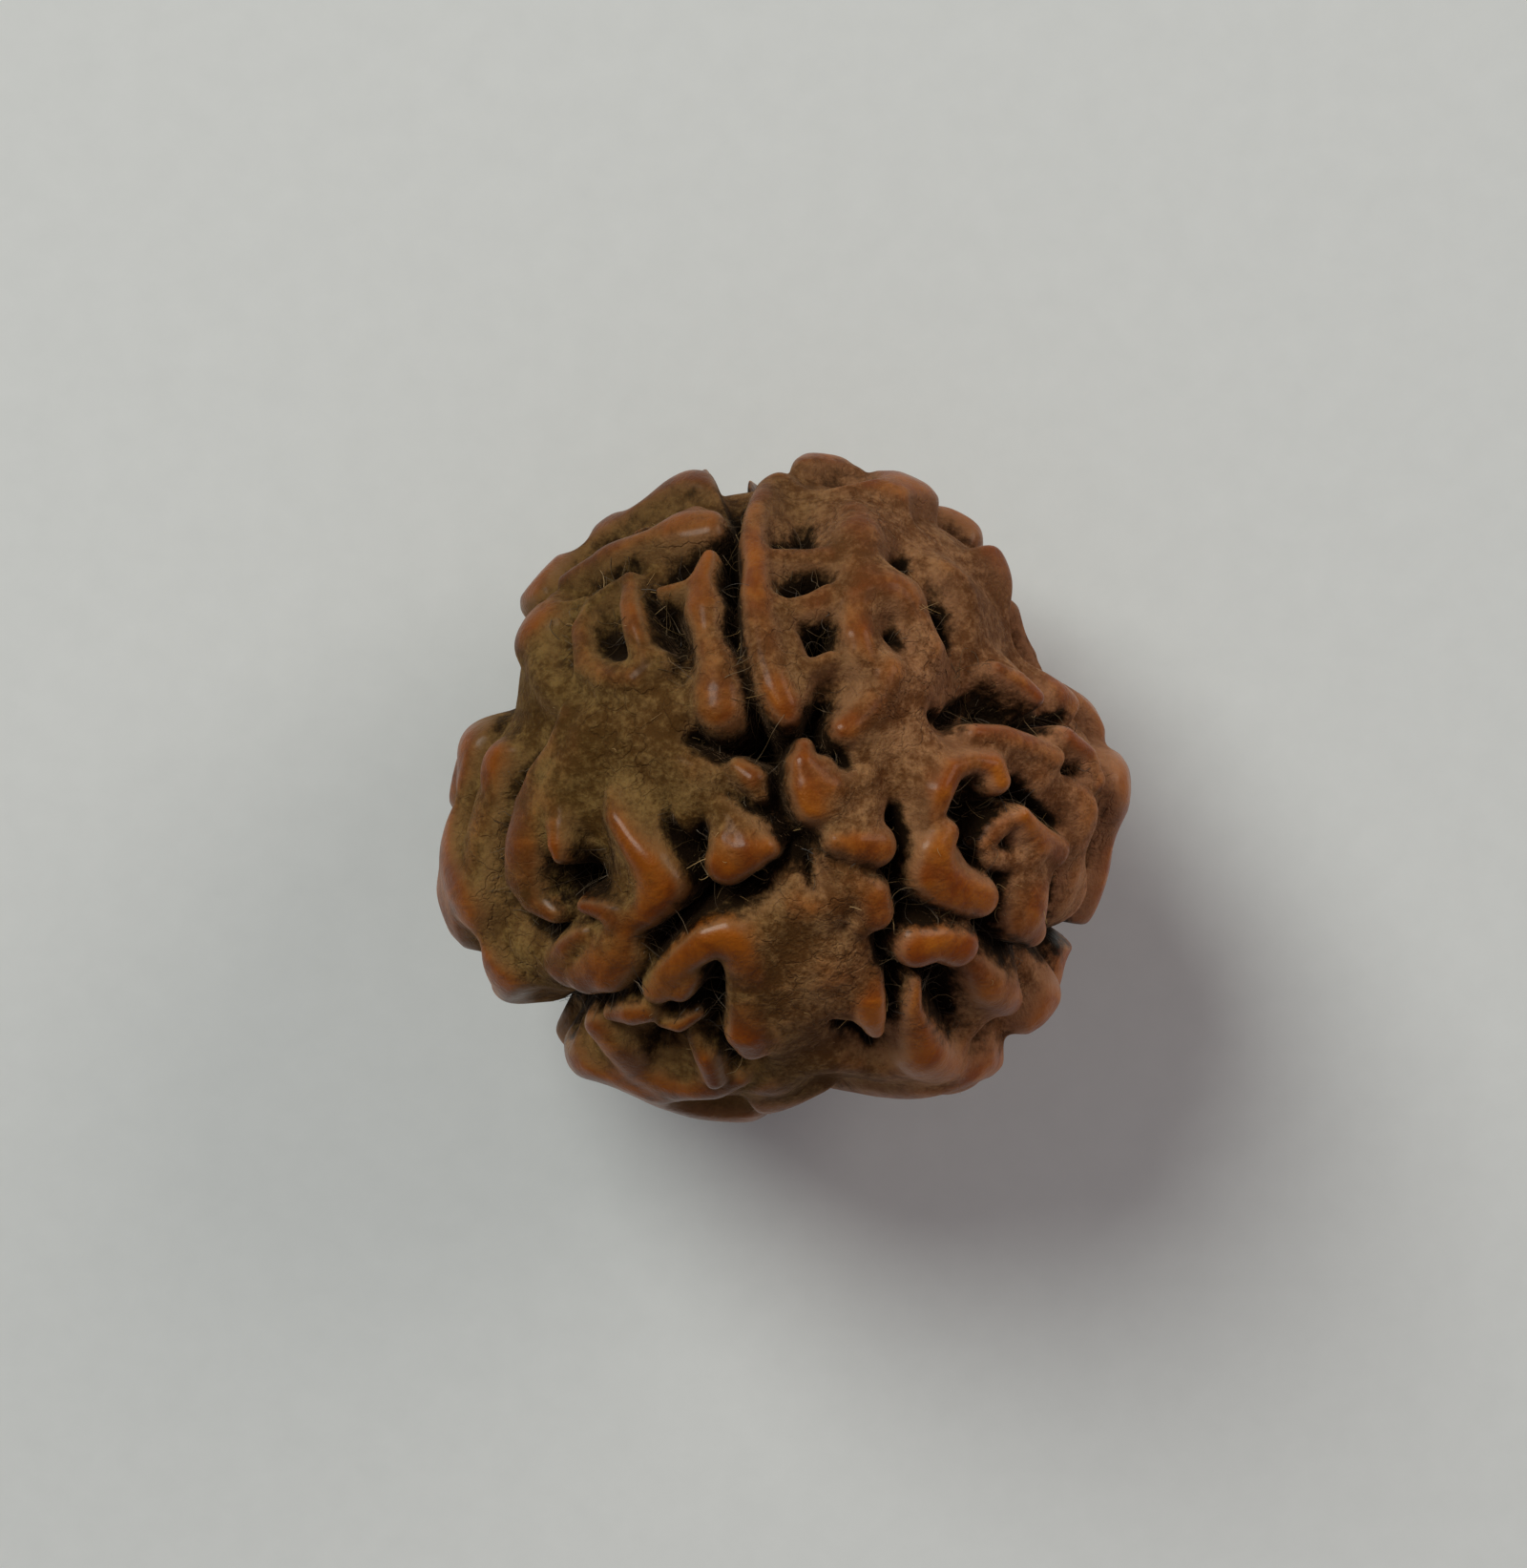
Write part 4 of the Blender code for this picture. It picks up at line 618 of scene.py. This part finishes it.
# Gloss and grain: sums as above, with the plain number that each starts from.
ROUGHNESS = {"worn": -0.45, "speck": 0.3}
ROUGHNESS_BASE = 0.69
COAT = {"worn": 0.26}
GRAIN = {"speck": 1.0, "grit": 0.5, "blotch": 2.4, "crack": -0.5}
GRAIN_STRENGTH = {"worn": -0.30}
GRAIN_MOST = 0.75
GRAIN_DEPTH = 0.11
WOOD_SETTINGS = {
    "Specular IOR Level": 0.16,
    "Specular Tint": (1.0, 0.72, 0.42, 1.0),
    "Coat Roughness": 0.22,
    "Sheen Weight": 0.11,
    "Sheen Roughness": 0.25,
    "Sheen Tint": (1.0, 0.58, 0.32, 1.0),
    "Subsurface Weight": 0.18,
    "Subsurface Radius": (1.0, 0.45, 0.15),
    "Subsurface Scale": 0.6 * MM,
}
FIBRE_ROUGHNESS = 0.6
PAPER_ROUGHNESS = 0.9

# Fibres across the hollows: how many to a millimetre, fewer along the first runs, which are clefts.
# Their ends lie off a run's middle line by a share of its half-width. Lengths are millimetres.
FIBRE_SEED = 11
FIBRES_PER_MM = 10.0
FIBRE_CHANCE = (0.5, 1.5)
CLEFT_RUNS = 5
CLEFT_SHARE = 0.45
FIBRE_TURN = 1.1
FIBRE_OUT = (0.5, 1.4)
FIBRE_LIFT = (-0.9, 0.0)
FIBRE_SWAY = 0.30
FIBRE_STEPS = 7
FIBRE_SIDES = 3
FIBRE_RADIUS = (0.008, 0.016)
FIBRE_TIP = 0.45
PALE_SHARE = 0.07
PALE_FIBRE = (0.5, 1.0)
DARK_FIBRE = (0.0, 0.28)

# Loose hairs on the crown.
HAIRS = 45
HAIR_REACH = 14.5
HAIR_RISE = 0.12
HAIR_LEAN = 0.20
PALE_HAIR = (0.7, 1.0)


def srgb(red, green, blue):
    """Linear colour of a colour given as it looks on a screen, 0 to 255."""
    shares = [value / 255.0 for value in (red, green, blue)]
    linear = [v / 12.92 if v <= 0.04045 else ((v + 0.055) / 1.055) ** 2.4 for v in shares]
    return (*linear, 1.0)


def mesh_points(mesh):
    flat = np.empty(len(mesh.vertices) * 3)
    mesh.vertices.foreach_get("co", flat)
    return flat.reshape(-1, 3)


def mesh_normals(mesh):
    flat = np.empty(len(mesh.vertices) * 3)
    mesh.vertices.foreach_get("normal", flat)
    return flat.reshape(-1, 3)


def unit(vectors):
    return vectors / np.linalg.norm(vectors, axis=-1)[..., None]


def fine_seed():
    """The seed's form on a fine sphere, with its points where the form's own axis is the middle."""
    bpy.ops.mesh.primitive_ico_sphere_add(subdivisions=SPHERE_STEPS, radius=1.0)
    seed = bpy.context.active_object
    seed.name = "fine_seed"
    points = seed_points(unit(mesh_points(seed.data)))
    seed.data.vertices.foreach_set("co", (points * MM).ravel())
    seed.data.update()
    rounding = seed.modifiers.new("Rounding", "SMOOTH")
    rounding.factor = ROUNDING_FACTOR
    rounding.iterations = ROUNDING_PASSES
    fewer = seed.modifiers.new("Fewer faces", "DECIMATE")
    fewer.ratio = KEPT_TRIANGLES / FINE_TRIANGLES
    graph = bpy.context.evaluated_depsgraph_get()
    finished = bpy.data.meshes.new_from_object(seed.evaluated_get(graph))
    seed.modifiers.clear()
    seed.data = finished
    return seed


def spread_over(mesh, values, passes):
    """Evens a value over neighbouring points, so many times."""
    ends = np.empty(len(mesh.edges) * 2, np.int64)
    mesh.edges.foreach_get("vertices", ends)
    first, second = ends[0::2], ends[1::2]
    count = len(mesh.vertices)
    share = np.bincount(first, minlength=count) + np.bincount(second, minlength=count)
    for _ in range(passes):
        around_it = np.bincount(first, values[second], count) + np.bincount(second, values[first], count)
        values = 0.5 * values + 0.5 * around_it / np.maximum(share, 1)
    return values


def openness(mesh):
    """Share of a half-sphere of short rays that leave each point freely."""
    points = mesh_points(mesh)
    normals = mesh_normals(mesh)
    tree = BVHTree.FromPolygons(points.tolist(), [tuple(face.vertices) for face in mesh.polygons])
    rng = np.random.default_rng(OPEN_SEED)
    rays = unit(rng.normal(size=(OPEN_RAYS, 3)))
    starts = (points + normals * (OPEN_START * MM)).tolist()
    free = np.zeros(len(points))
    weight = np.zeros(len(points))
    for ray in rays:
        facing = normals @ ray
        aims = np.where(facing[:, None] < 0.0, -ray, ray).tolist()
        hits = [tree.ray_cast(start, aim, OPEN_REACH * MM)[0] for start, aim in zip(starts, aims)]
        free += np.abs(facing) * np.array([hit is None for hit in hits])
        weight += np.abs(facing)
    return free / weight


def add_values(mesh, name, values):
    layer = mesh.attributes.new(name, "FLOAT", "POINT")
    layer.data.foreach_set("value", np.ascontiguousarray(values, dtype=np.float32))


def add_seed_values(mesh):
    """Height, relief, sharpness, slope and openness of every point, for the colours."""
    points = mesh_points(mesh)
    outward = unit(points)
    level = np.linalg.norm(points, axis=1) / MM - body_radius(outward)
    facing = np.sum(mesh_normals(mesh) * outward, axis=1)
    add_values(mesh, "level", level)
    add_values(mesh, "relief", level - spread_over(mesh, level, RELIEF_PASSES))
    add_values(mesh, "edge", level - spread_over(mesh, level, EDGE_PASSES))
    add_values(mesh, "slope", spread_over(mesh, 1 - facing, SLOPE_PASSES))
    # Openness drives the painted shade of the pits and the painted sheen of the slopes.
    add_values(mesh, "free", spread_over(mesh, openness(mesh), OPEN_PASSES))


def node(tree, kind, inputs=None, **settings):
    made = tree.nodes.new(kind)
    for name, value in settings.items():
        setattr(made, name, value)
    for key, value in (inputs or {}).items():
        feed(tree, made.inputs[key], value)
    return made


def feed(tree, socket, value):
    """Links a socket to another, or sets it to a plain value."""
    if isinstance(value, bpy.types.NodeSocket):
        tree.links.new(value, socket)
    else:
        socket.default_value = value


def mix(tree, factor, first, second):
    made = tree.nodes.new("ShaderNodeMix")
    made.data_type = "RGBA"
    for socket, value in ((made.inputs[0], factor), (made.inputs[6], first), (made.inputs[7], second)):
        feed(tree, socket, value)
    return made.outputs[2]


def calc(tree, operation, first, second=0.0, third=0.0):
    made = tree.nodes.new("ShaderNodeMath")
    made.operation = operation
    for socket, value in zip(made.inputs, (first, second, third)):
        feed(tree, socket, value)
    return made.outputs[0]


def times(tree, first, second):
    return calc(tree, "MULTIPLY", first, second)


def ease(tree, value, low, high):
    made = node(tree, "ShaderNodeMapRange", {"Value": value, "From Min": low, "From Max": high})
    made.interpolation_type = "SMOOTHSTEP"
    return made.outputs["Result"]


def noise(tree, place, scale, detail, rough, warp):
    made = node(tree, "ShaderNodeTexNoise", {"Vector": place, "Scale": scale, "Detail": detail,
                                             "Roughness": rough, "Distortion": warp})
    return made.outputs["Fac"]


def weigh(tree, found, shares, start=0.0):
    """Sum of named values, each times its share."""
    for name, share in shares.items():
        start = calc(tree, "MULTIPLY_ADD", found[name], share, start)
    return start


def patches(tree, factor, colours):
    return mix(tree, factor, srgb(*colours[0]), srgb(*colours[1]))


def crack_lines(tree, place):
    """Distance to the nearest line of a net of bent cells."""
    bent = node(tree, "ShaderNodeTexNoise", {"Vector": place, "Scale": CRACK_CELLS, "Detail": 3.0})
    bent = node(tree, "ShaderNodeVectorMath", {0: bent.outputs["Color"], 1: (CRACK_BEND,) * 3},
                operation="MULTIPLY")
    bent = node(tree, "ShaderNodeVectorMath", {0: bent.outputs["Vector"], 1: place}, operation="ADD")
    cells = node(tree, "ShaderNodeTexVoronoi", {"Vector": bent.outputs["Vector"], "Scale": CRACK_CELLS},
                 feature="DISTANCE_TO_EDGE")
    return cells.outputs["Distance"]


def found_values(tree):
    """Every value that the colours are worked out from, by name."""
    place = node(tree, "ShaderNodeTexCoord").outputs["Object"]
    sides = node(tree, "ShaderNodeSeparateXYZ", {"Vector": place}).outputs
    found = {"x": sides["X"], "y": sides["Y"], "z": sides["Z"]}
    for name in ("level", "relief", "edge", "slope", "free"):
        found[name] = node(tree, "ShaderNodeAttribute", attribute_name=name).outputs["Fac"]
    for name, settings in NOISES.items():
        found[name] = noise(tree, place, *settings)
    found["flank"] = ease(tree, found["z"], *FLANK_RANGE)
    found["worn"] = ease(tree, weigh(tree, found, WORN), *WORN_RANGE)
    bare = calc(tree, "SUBTRACT", 1.0, found["worn"])
    lines = ease(tree, crack_lines(tree, place), *CRACK_RANGE)
    found["crack"] = times(tree, times(tree, lines, ease(tree, found["patch"], *CRACK_PATCHES)), bare)
    return found


def seed_colour(tree, found):
    """Worn wood over dust, lighter on the right partly as painted light, then dark ground with painted
    shade in the hollows, cracks, pale crests of rubbed edges with a painted highlight, frosted slopes of
    dust with painted sheen, near-black painted shade in the pits with dirt specks, and painted light that
    darkens towards +y.
    """
    # Painted light in part: the right side gets lighter copies of the colours, standing in for the lamps
    # from the right.
    turn = ease(tree, weigh(tree, found, SIDE_TINT_AND_LIGHT), *SIDE_TINT_AND_LIGHT_RANGE)
    mottle = ease(tree, weigh(tree, found, MOTTLE), *MOTTLE_RANGE)
    grown = ease(tree, found["blotch"], *WORN_PATCHES)
    dust = mix(tree, turn, patches(tree, mottle, LEFT_DUST_SHADED), patches(tree, mottle, RIGHT_DUST_LIT))
    worn = mix(tree, turn, patches(tree, grown, LEFT_WORN_SHADED), patches(tree, grown, RIGHT_WORN_LIT))
    colour = mix(tree, found["worn"], dust, worn)
    # Dark ground in low places: partly the seed's own, partly painted shade of the recesses.
    low = ease(tree, weigh(tree, found, HOLLOW_GROUND_AND_SHADE_RULE), *HOLLOW_GROUND_AND_SHADE_RANGE)
    colour = mix(tree, times(tree, low, HOLLOW_GROUND_AND_SHADE_COVER), colour, srgb(*HOLLOW_GROUND_AND_SHADE))
    colour = mix(tree, times(tree, found["crack"], CRACK_COVER), colour, srgb(*CRACK))
    # Pale line on sharp crests: partly rubbed edges, partly a painted highlight.
    crest = ease(tree, found["edge"], *RUBBED_EDGE_AND_HIGHLIGHT_RANGE)
    crest = times(tree, crest, ease(tree, found["blotch"], *RUBBED_EDGE_AND_HIGHLIGHT_PATCHES))
    colour = mix(tree, times(tree, crest, RUBBED_EDGE_AND_HIGHLIGHT_COVER), colour, srgb(*RUBBED_EDGE_AND_HIGHLIGHT))
    # Pale band on steep open slopes: partly dusty frost, partly painted sheen.
    frost_and_sheen = times(tree, ease(tree, found["slope"], *FROST_AND_SHEEN_SLOPE), ease(tree, found["free"], *FROST_AND_SHEEN_OPEN))
    frost_and_sheen = times(tree, frost_and_sheen, weigh(tree, found, FROST_AND_SHEEN_SPREAD, FROST_AND_SHEEN_LEAST))
    colour = mix(tree, frost_and_sheen, colour, patches(tree, turn, FROST_AND_SHEEN))
    # Painted shade: near black where the surface is closed in, with dirt specks at its edge.
    pit_shade_and_dirt = ease(tree, weigh(tree, found, PIT_SHADE_AND_DIRT), *PIT_SHADE_AND_DIRT_RANGE)
    colour = mix(tree, pit_shade_and_dirt, colour, srgb(*PIT_SHADE_AND_DIRT_COLOUR))
    # Painted light: darker towards the top of the view, lighter towards the bottom.
    value = weigh(tree, found, PAINTED_LIGHT_GRADIENT, PAINTED_LIGHT_MIDDLE)
    return node(tree, "ShaderNodeHueSaturation", {"Value": value, "Color": colour}).outputs["Color"]


def new_material(name):
    material = bpy.data.materials.new(name)
    material.use_nodes = True
    return material, material.node_tree, material.node_tree.nodes["Principled BSDF"].inputs


def seed_material():
    material, tree, inputs = new_material("seed_wood_fine")
    found = found_values(tree)
    feed(tree, inputs["Base Color"], seed_colour(tree, found))
    feed(tree, inputs["Roughness"], weigh(tree, found, ROUGHNESS, ROUGHNESS_BASE))
    feed(tree, inputs["Coat Weight"], weigh(tree, found, COAT))
    for name, value in WOOD_SETTINGS.items():
        inputs[name].default_value = value
    bump = node(tree, "ShaderNodeBump", {"Height": weigh(tree, found, GRAIN), "Distance": GRAIN_DEPTH * MM,
                                         "Strength": weigh(tree, found, GRAIN_STRENGTH, GRAIN_MOST)})
    feed(tree, inputs["Normal"], bump.outputs["Normal"])
    return material


def fibre_material():
    material, tree, inputs = new_material("fibre")
    pale = node(tree, "ShaderNodeAttribute", attribute_name="pale").outputs["Fac"]
    feed(tree, inputs["Base Color"], patches(tree, pale, FIBRE_COLOURS))
    inputs["Roughness"].default_value = FIBRE_ROUGHNESS
    return material


def paper_material():
    material, tree, inputs = new_material("paper")
    place = node(tree, "ShaderNodeTexCoord").outputs["Object"]
    feed(tree, inputs["Base Color"], mix(tree, noise(tree, place, *PAPER_TOOTH), *PAPER_COLOURS))
    inputs["Roughness"].default_value = PAPER_ROUGHNESS
    return material


def plan_direction(x, y):
    """Direction from the middle of the seed for places of the flat layout."""
    turn = np.hypot(x, y) / MAP_RADIUS
    side = np.sin(turn) / np.maximum(np.hypot(x, y), TINY)
    return np.stack((x * side, y * side, np.cos(turn)), axis=-1)


def heading_of(angle):
    return np.array((math.cos(angle), math.sin(angle)))


def fibre_ends(rng):
    """Both ends of every fibre on the flat layout, and how far its middle stands off."""
    starts, stops, lifts = [], [], []
    for place, run in enumerate(HOLLOWS):
        dense = FIBRES_PER_MM * (CLEFT_SHARE if place < CLEFT_RUNS else 1.0)
        ends = run if len(run) > 1 else run * 2
        for (x0, y0, _, wide0), (x1, y1, _, wide1) in zip(ends, ends[1:]):
            length = math.hypot(x1 - x0, y1 - y0) + wide0
            for _ in range(int(length * dense * rng.uniform(*FIBRE_CHANCE))):
                share = rng.uniform(0.0, 1.0)
                first = rng.uniform(0.0, 2.0 * np.pi)
                turn = rng.normal(np.pi, FIBRE_TURN)
                wide = wide0 + (wide1 - wide0) * share
                middle = np.array((x0 + (x1 - x0) * share, y0 + (y1 - y0) * share))
                near, far = rng.uniform(*FIBRE_OUT, 2) * wide
                starts.append(middle + near * heading_of(first))
                stops.append(middle + far * heading_of(first + turn))
                lifts.append(rng.uniform(*FIBRE_LIFT))
    return np.array(starts), np.array(stops), np.array(lifts)


def fibre_arches(rng, share):
    """Middle lines of the fibres that arch across the hollows."""
    starts, stops, lifts = fibre_ends(rng)
    first = seed_points(plan_direction(starts[:, 0], starts[:, 1]))
    last = seed_points(plan_direction(stops[:, 0], stops[:, 1]))
    lift = unit(first + last) * lifts[:, None]
    second = first * 0.7 + last * 0.3 + lift + rng.normal(0.0, FIBRE_SWAY, first.shape)
    third = first * 0.3 + last * 0.7 + lift + rng.normal(0.0, FIBRE_SWAY, first.shape)
    arches = (1 - share) ** 3 * first[:, None] + 3 * share * (1 - share) ** 2 * second[:, None]
    return arches + 3 * share**2 * (1 - share) * third[:, None] + share**3 * last[:, None]


def loose_hairs(rng, share):
    """Middle lines of the few hairs that stand up from the crown."""
    turn = rng.uniform(0.0, 2.0 * np.pi, HAIRS)
    reach = HAIR_REACH * np.sqrt(rng.uniform(0.0, 1.0, HAIRS))
    root = seed_points(plan_direction(reach * np.cos(turn), reach * np.sin(turn)))
    lean = unit(root) * HAIR_RISE + rng.normal(0.0, HAIR_LEAN, root.shape)
    curl = rng.normal(0.0, HAIR_LEAN, root.shape)
    return root[:, None] + share * lean[:, None] + share**2 * curl[:, None]


def strand_points(lines, rng):
    """Points of a thin three-sided tube round every line, narrower to its end."""
    along = np.gradient(lines, axis=1)
    along /= np.linalg.norm(along, axis=2)[:, :, None] + TINY
    aside = np.cross(along, rng.normal(size=(len(lines), 1, 3)))
    aside /= np.linalg.norm(aside, axis=2)[:, :, None] + TINY
    across = np.cross(along, aside)
    narrowing = np.linspace(1.0, FIBRE_TIP, FIBRE_STEPS)[None, :]
    thick = (rng.uniform(*FIBRE_RADIUS, len(lines))[:, None] * narrowing)[:, :, None]
    rings = []
    for corner in range(FIBRE_SIDES):
        angle = corner * 2.0 * np.pi / FIBRE_SIDES
        rings.append(lines + thick * (aside * math.cos(angle) + across * math.sin(angle)))
    return np.stack(rings, axis=2).reshape(-1, 3)


def strand_faces(count):
    faces = []
    for fibre in range(count):
        for step in range(FIBRE_STEPS - 1):
            low = (fibre * FIBRE_STEPS + step) * FIBRE_SIDES
            high = low + FIBRE_SIDES
            for corner in range(FIBRE_SIDES):
                after = (corner + 1) % FIBRE_SIDES
                faces.append((low + corner, low + after, high + after, high + corner))
    return faces


def add_fibres(shift):
    """All the fibres and hairs as one mesh; shift moves the form's axis to the frame's."""
    rng = np.random.default_rng(FIBRE_SEED)
    share = np.linspace(0.0, 1.0, FIBRE_STEPS)[None, :, None]
    arches = fibre_arches(rng, share)
    hairs = loose_hairs(rng, share)
    lines = np.concatenate((arches, hairs))
    count = len(lines)
    points = strand_points(lines, rng)
    mesh = bpy.data.meshes.new("seed_fibres")
    mesh.from_pydata((points * MM - shift).tolist(), [], strand_faces(count))
    chosen = rng.uniform(size=count) < PALE_SHARE
    pale = np.where(chosen, rng.uniform(*PALE_FIBRE, count), rng.uniform(*DARK_FIBRE, count))
    pale[len(arches):] = rng.uniform(*PALE_HAIR, len(hairs))
    add_values(mesh, "pale", np.repeat(pale, FIBRE_STEPS * FIBRE_SIDES))
    fibres = bpy.data.objects.new("seed_fibres", mesh)
    bpy.context.scene.collection.objects.link(fibres)
    fibres.data.materials.append(fibre_material())
    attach(fibres, "root")


def add_floor():
    bpy.ops.mesh.primitive_plane_add(size=FLOOR_SIZE)
    floor = bpy.context.active_object
    floor.name = "floor"
    floor.data.materials.append(paper_material())


def add_light(name, place, size, power, colour):
    """A round soft lamp that faces the seed."""
    lamp = bpy.data.lights.new(name, "AREA")
    lamp.shape = "DISK"
    lamp.size = size
    lamp.energy = power
    lamp.color = colour
    holder = bpy.data.objects.new(name, lamp)
    holder.location = place
    holder.rotation_mode = "QUATERNION"
    holder.rotation_quaternion = (Vector(place) - Vector(SEED_MIDDLE)).to_track_quat("Z", "Y")
    bpy.context.scene.collection.objects.link(holder)


def light_scene():
    scene = bpy.context.scene
    scene.view_settings.view_transform = "Standard"
    scene.view_settings.look = "None"
    world = bpy.data.worlds.new("room")
    world.use_nodes = True
    background = world.node_tree.nodes["Background"]
    background.inputs["Color"].default_value = ROOM_COLOUR
    background.inputs["Strength"].default_value = ROOM_STRENGTH
    scene.world = world
    add_light("window", **WINDOW)
    add_light("room_side", **ROOM_SIDE)


def add_camera(axis):
    """A camera that looks at the seed as the photograph does; axis is the form's middle."""
    scene = bpy.context.scene
    lens = bpy.data.cameras.new("camera")
    camera = bpy.data.objects.new("camera", lens)
    scene.collection.objects.link(camera)
    towards = Vector((*VIEW_LEAN, math.sqrt(1.0 - VIEW_LEAN[0] ** 2 - VIEW_LEAN[1] ** 2)))
    turn = Vector((0.0, 0.0, 1.0)).rotation_difference(towards)
    right = PHOTO_WIDTH / 2 - AXIS_PIXEL[0]
    up = AXIS_PIXEL[1] - PHOTO_HEIGHT / 2
    aside = turn @ Vector((right * PHOTO_MM, up * PHOTO_MM, 0.0))
    camera.location = (Vector(axis) + towards * VIEW_DISTANCE + aside) * MM
    camera.rotation_mode = "QUATERNION"
    camera.rotation_quaternion = turn
    lens.sensor_fit = "VERTICAL"
    lens.angle = 2.0 * math.atan(PHOTO_HEIGHT * PHOTO_MM / 2.0 / VIEW_DISTANCE)
    lens.clip_start = NEAREST_SEEN * MM
    scene.camera = camera


def main():
    seed = fine_seed()
    add_seed_values(seed.data)
    points = mesh_points(seed.data)
    low, high = points.min(axis=0), points.max(axis=0)
    shift = np.array(((low[0] + high[0]) / 2, (low[1] + high[1]) / 2, low[2]))
    seed.data.vertices.foreach_set("co", (points - shift).ravel())
    seed.data.materials.clear()
    seed.data.materials.append(seed_material())
    seed.data.shade_smooth()
    seed.data.update()
    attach(seed, "root")
    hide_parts(NODE)
    add_fibres(shift)
    add_floor()
    light_scene()
    add_camera(-shift / MM)


main()
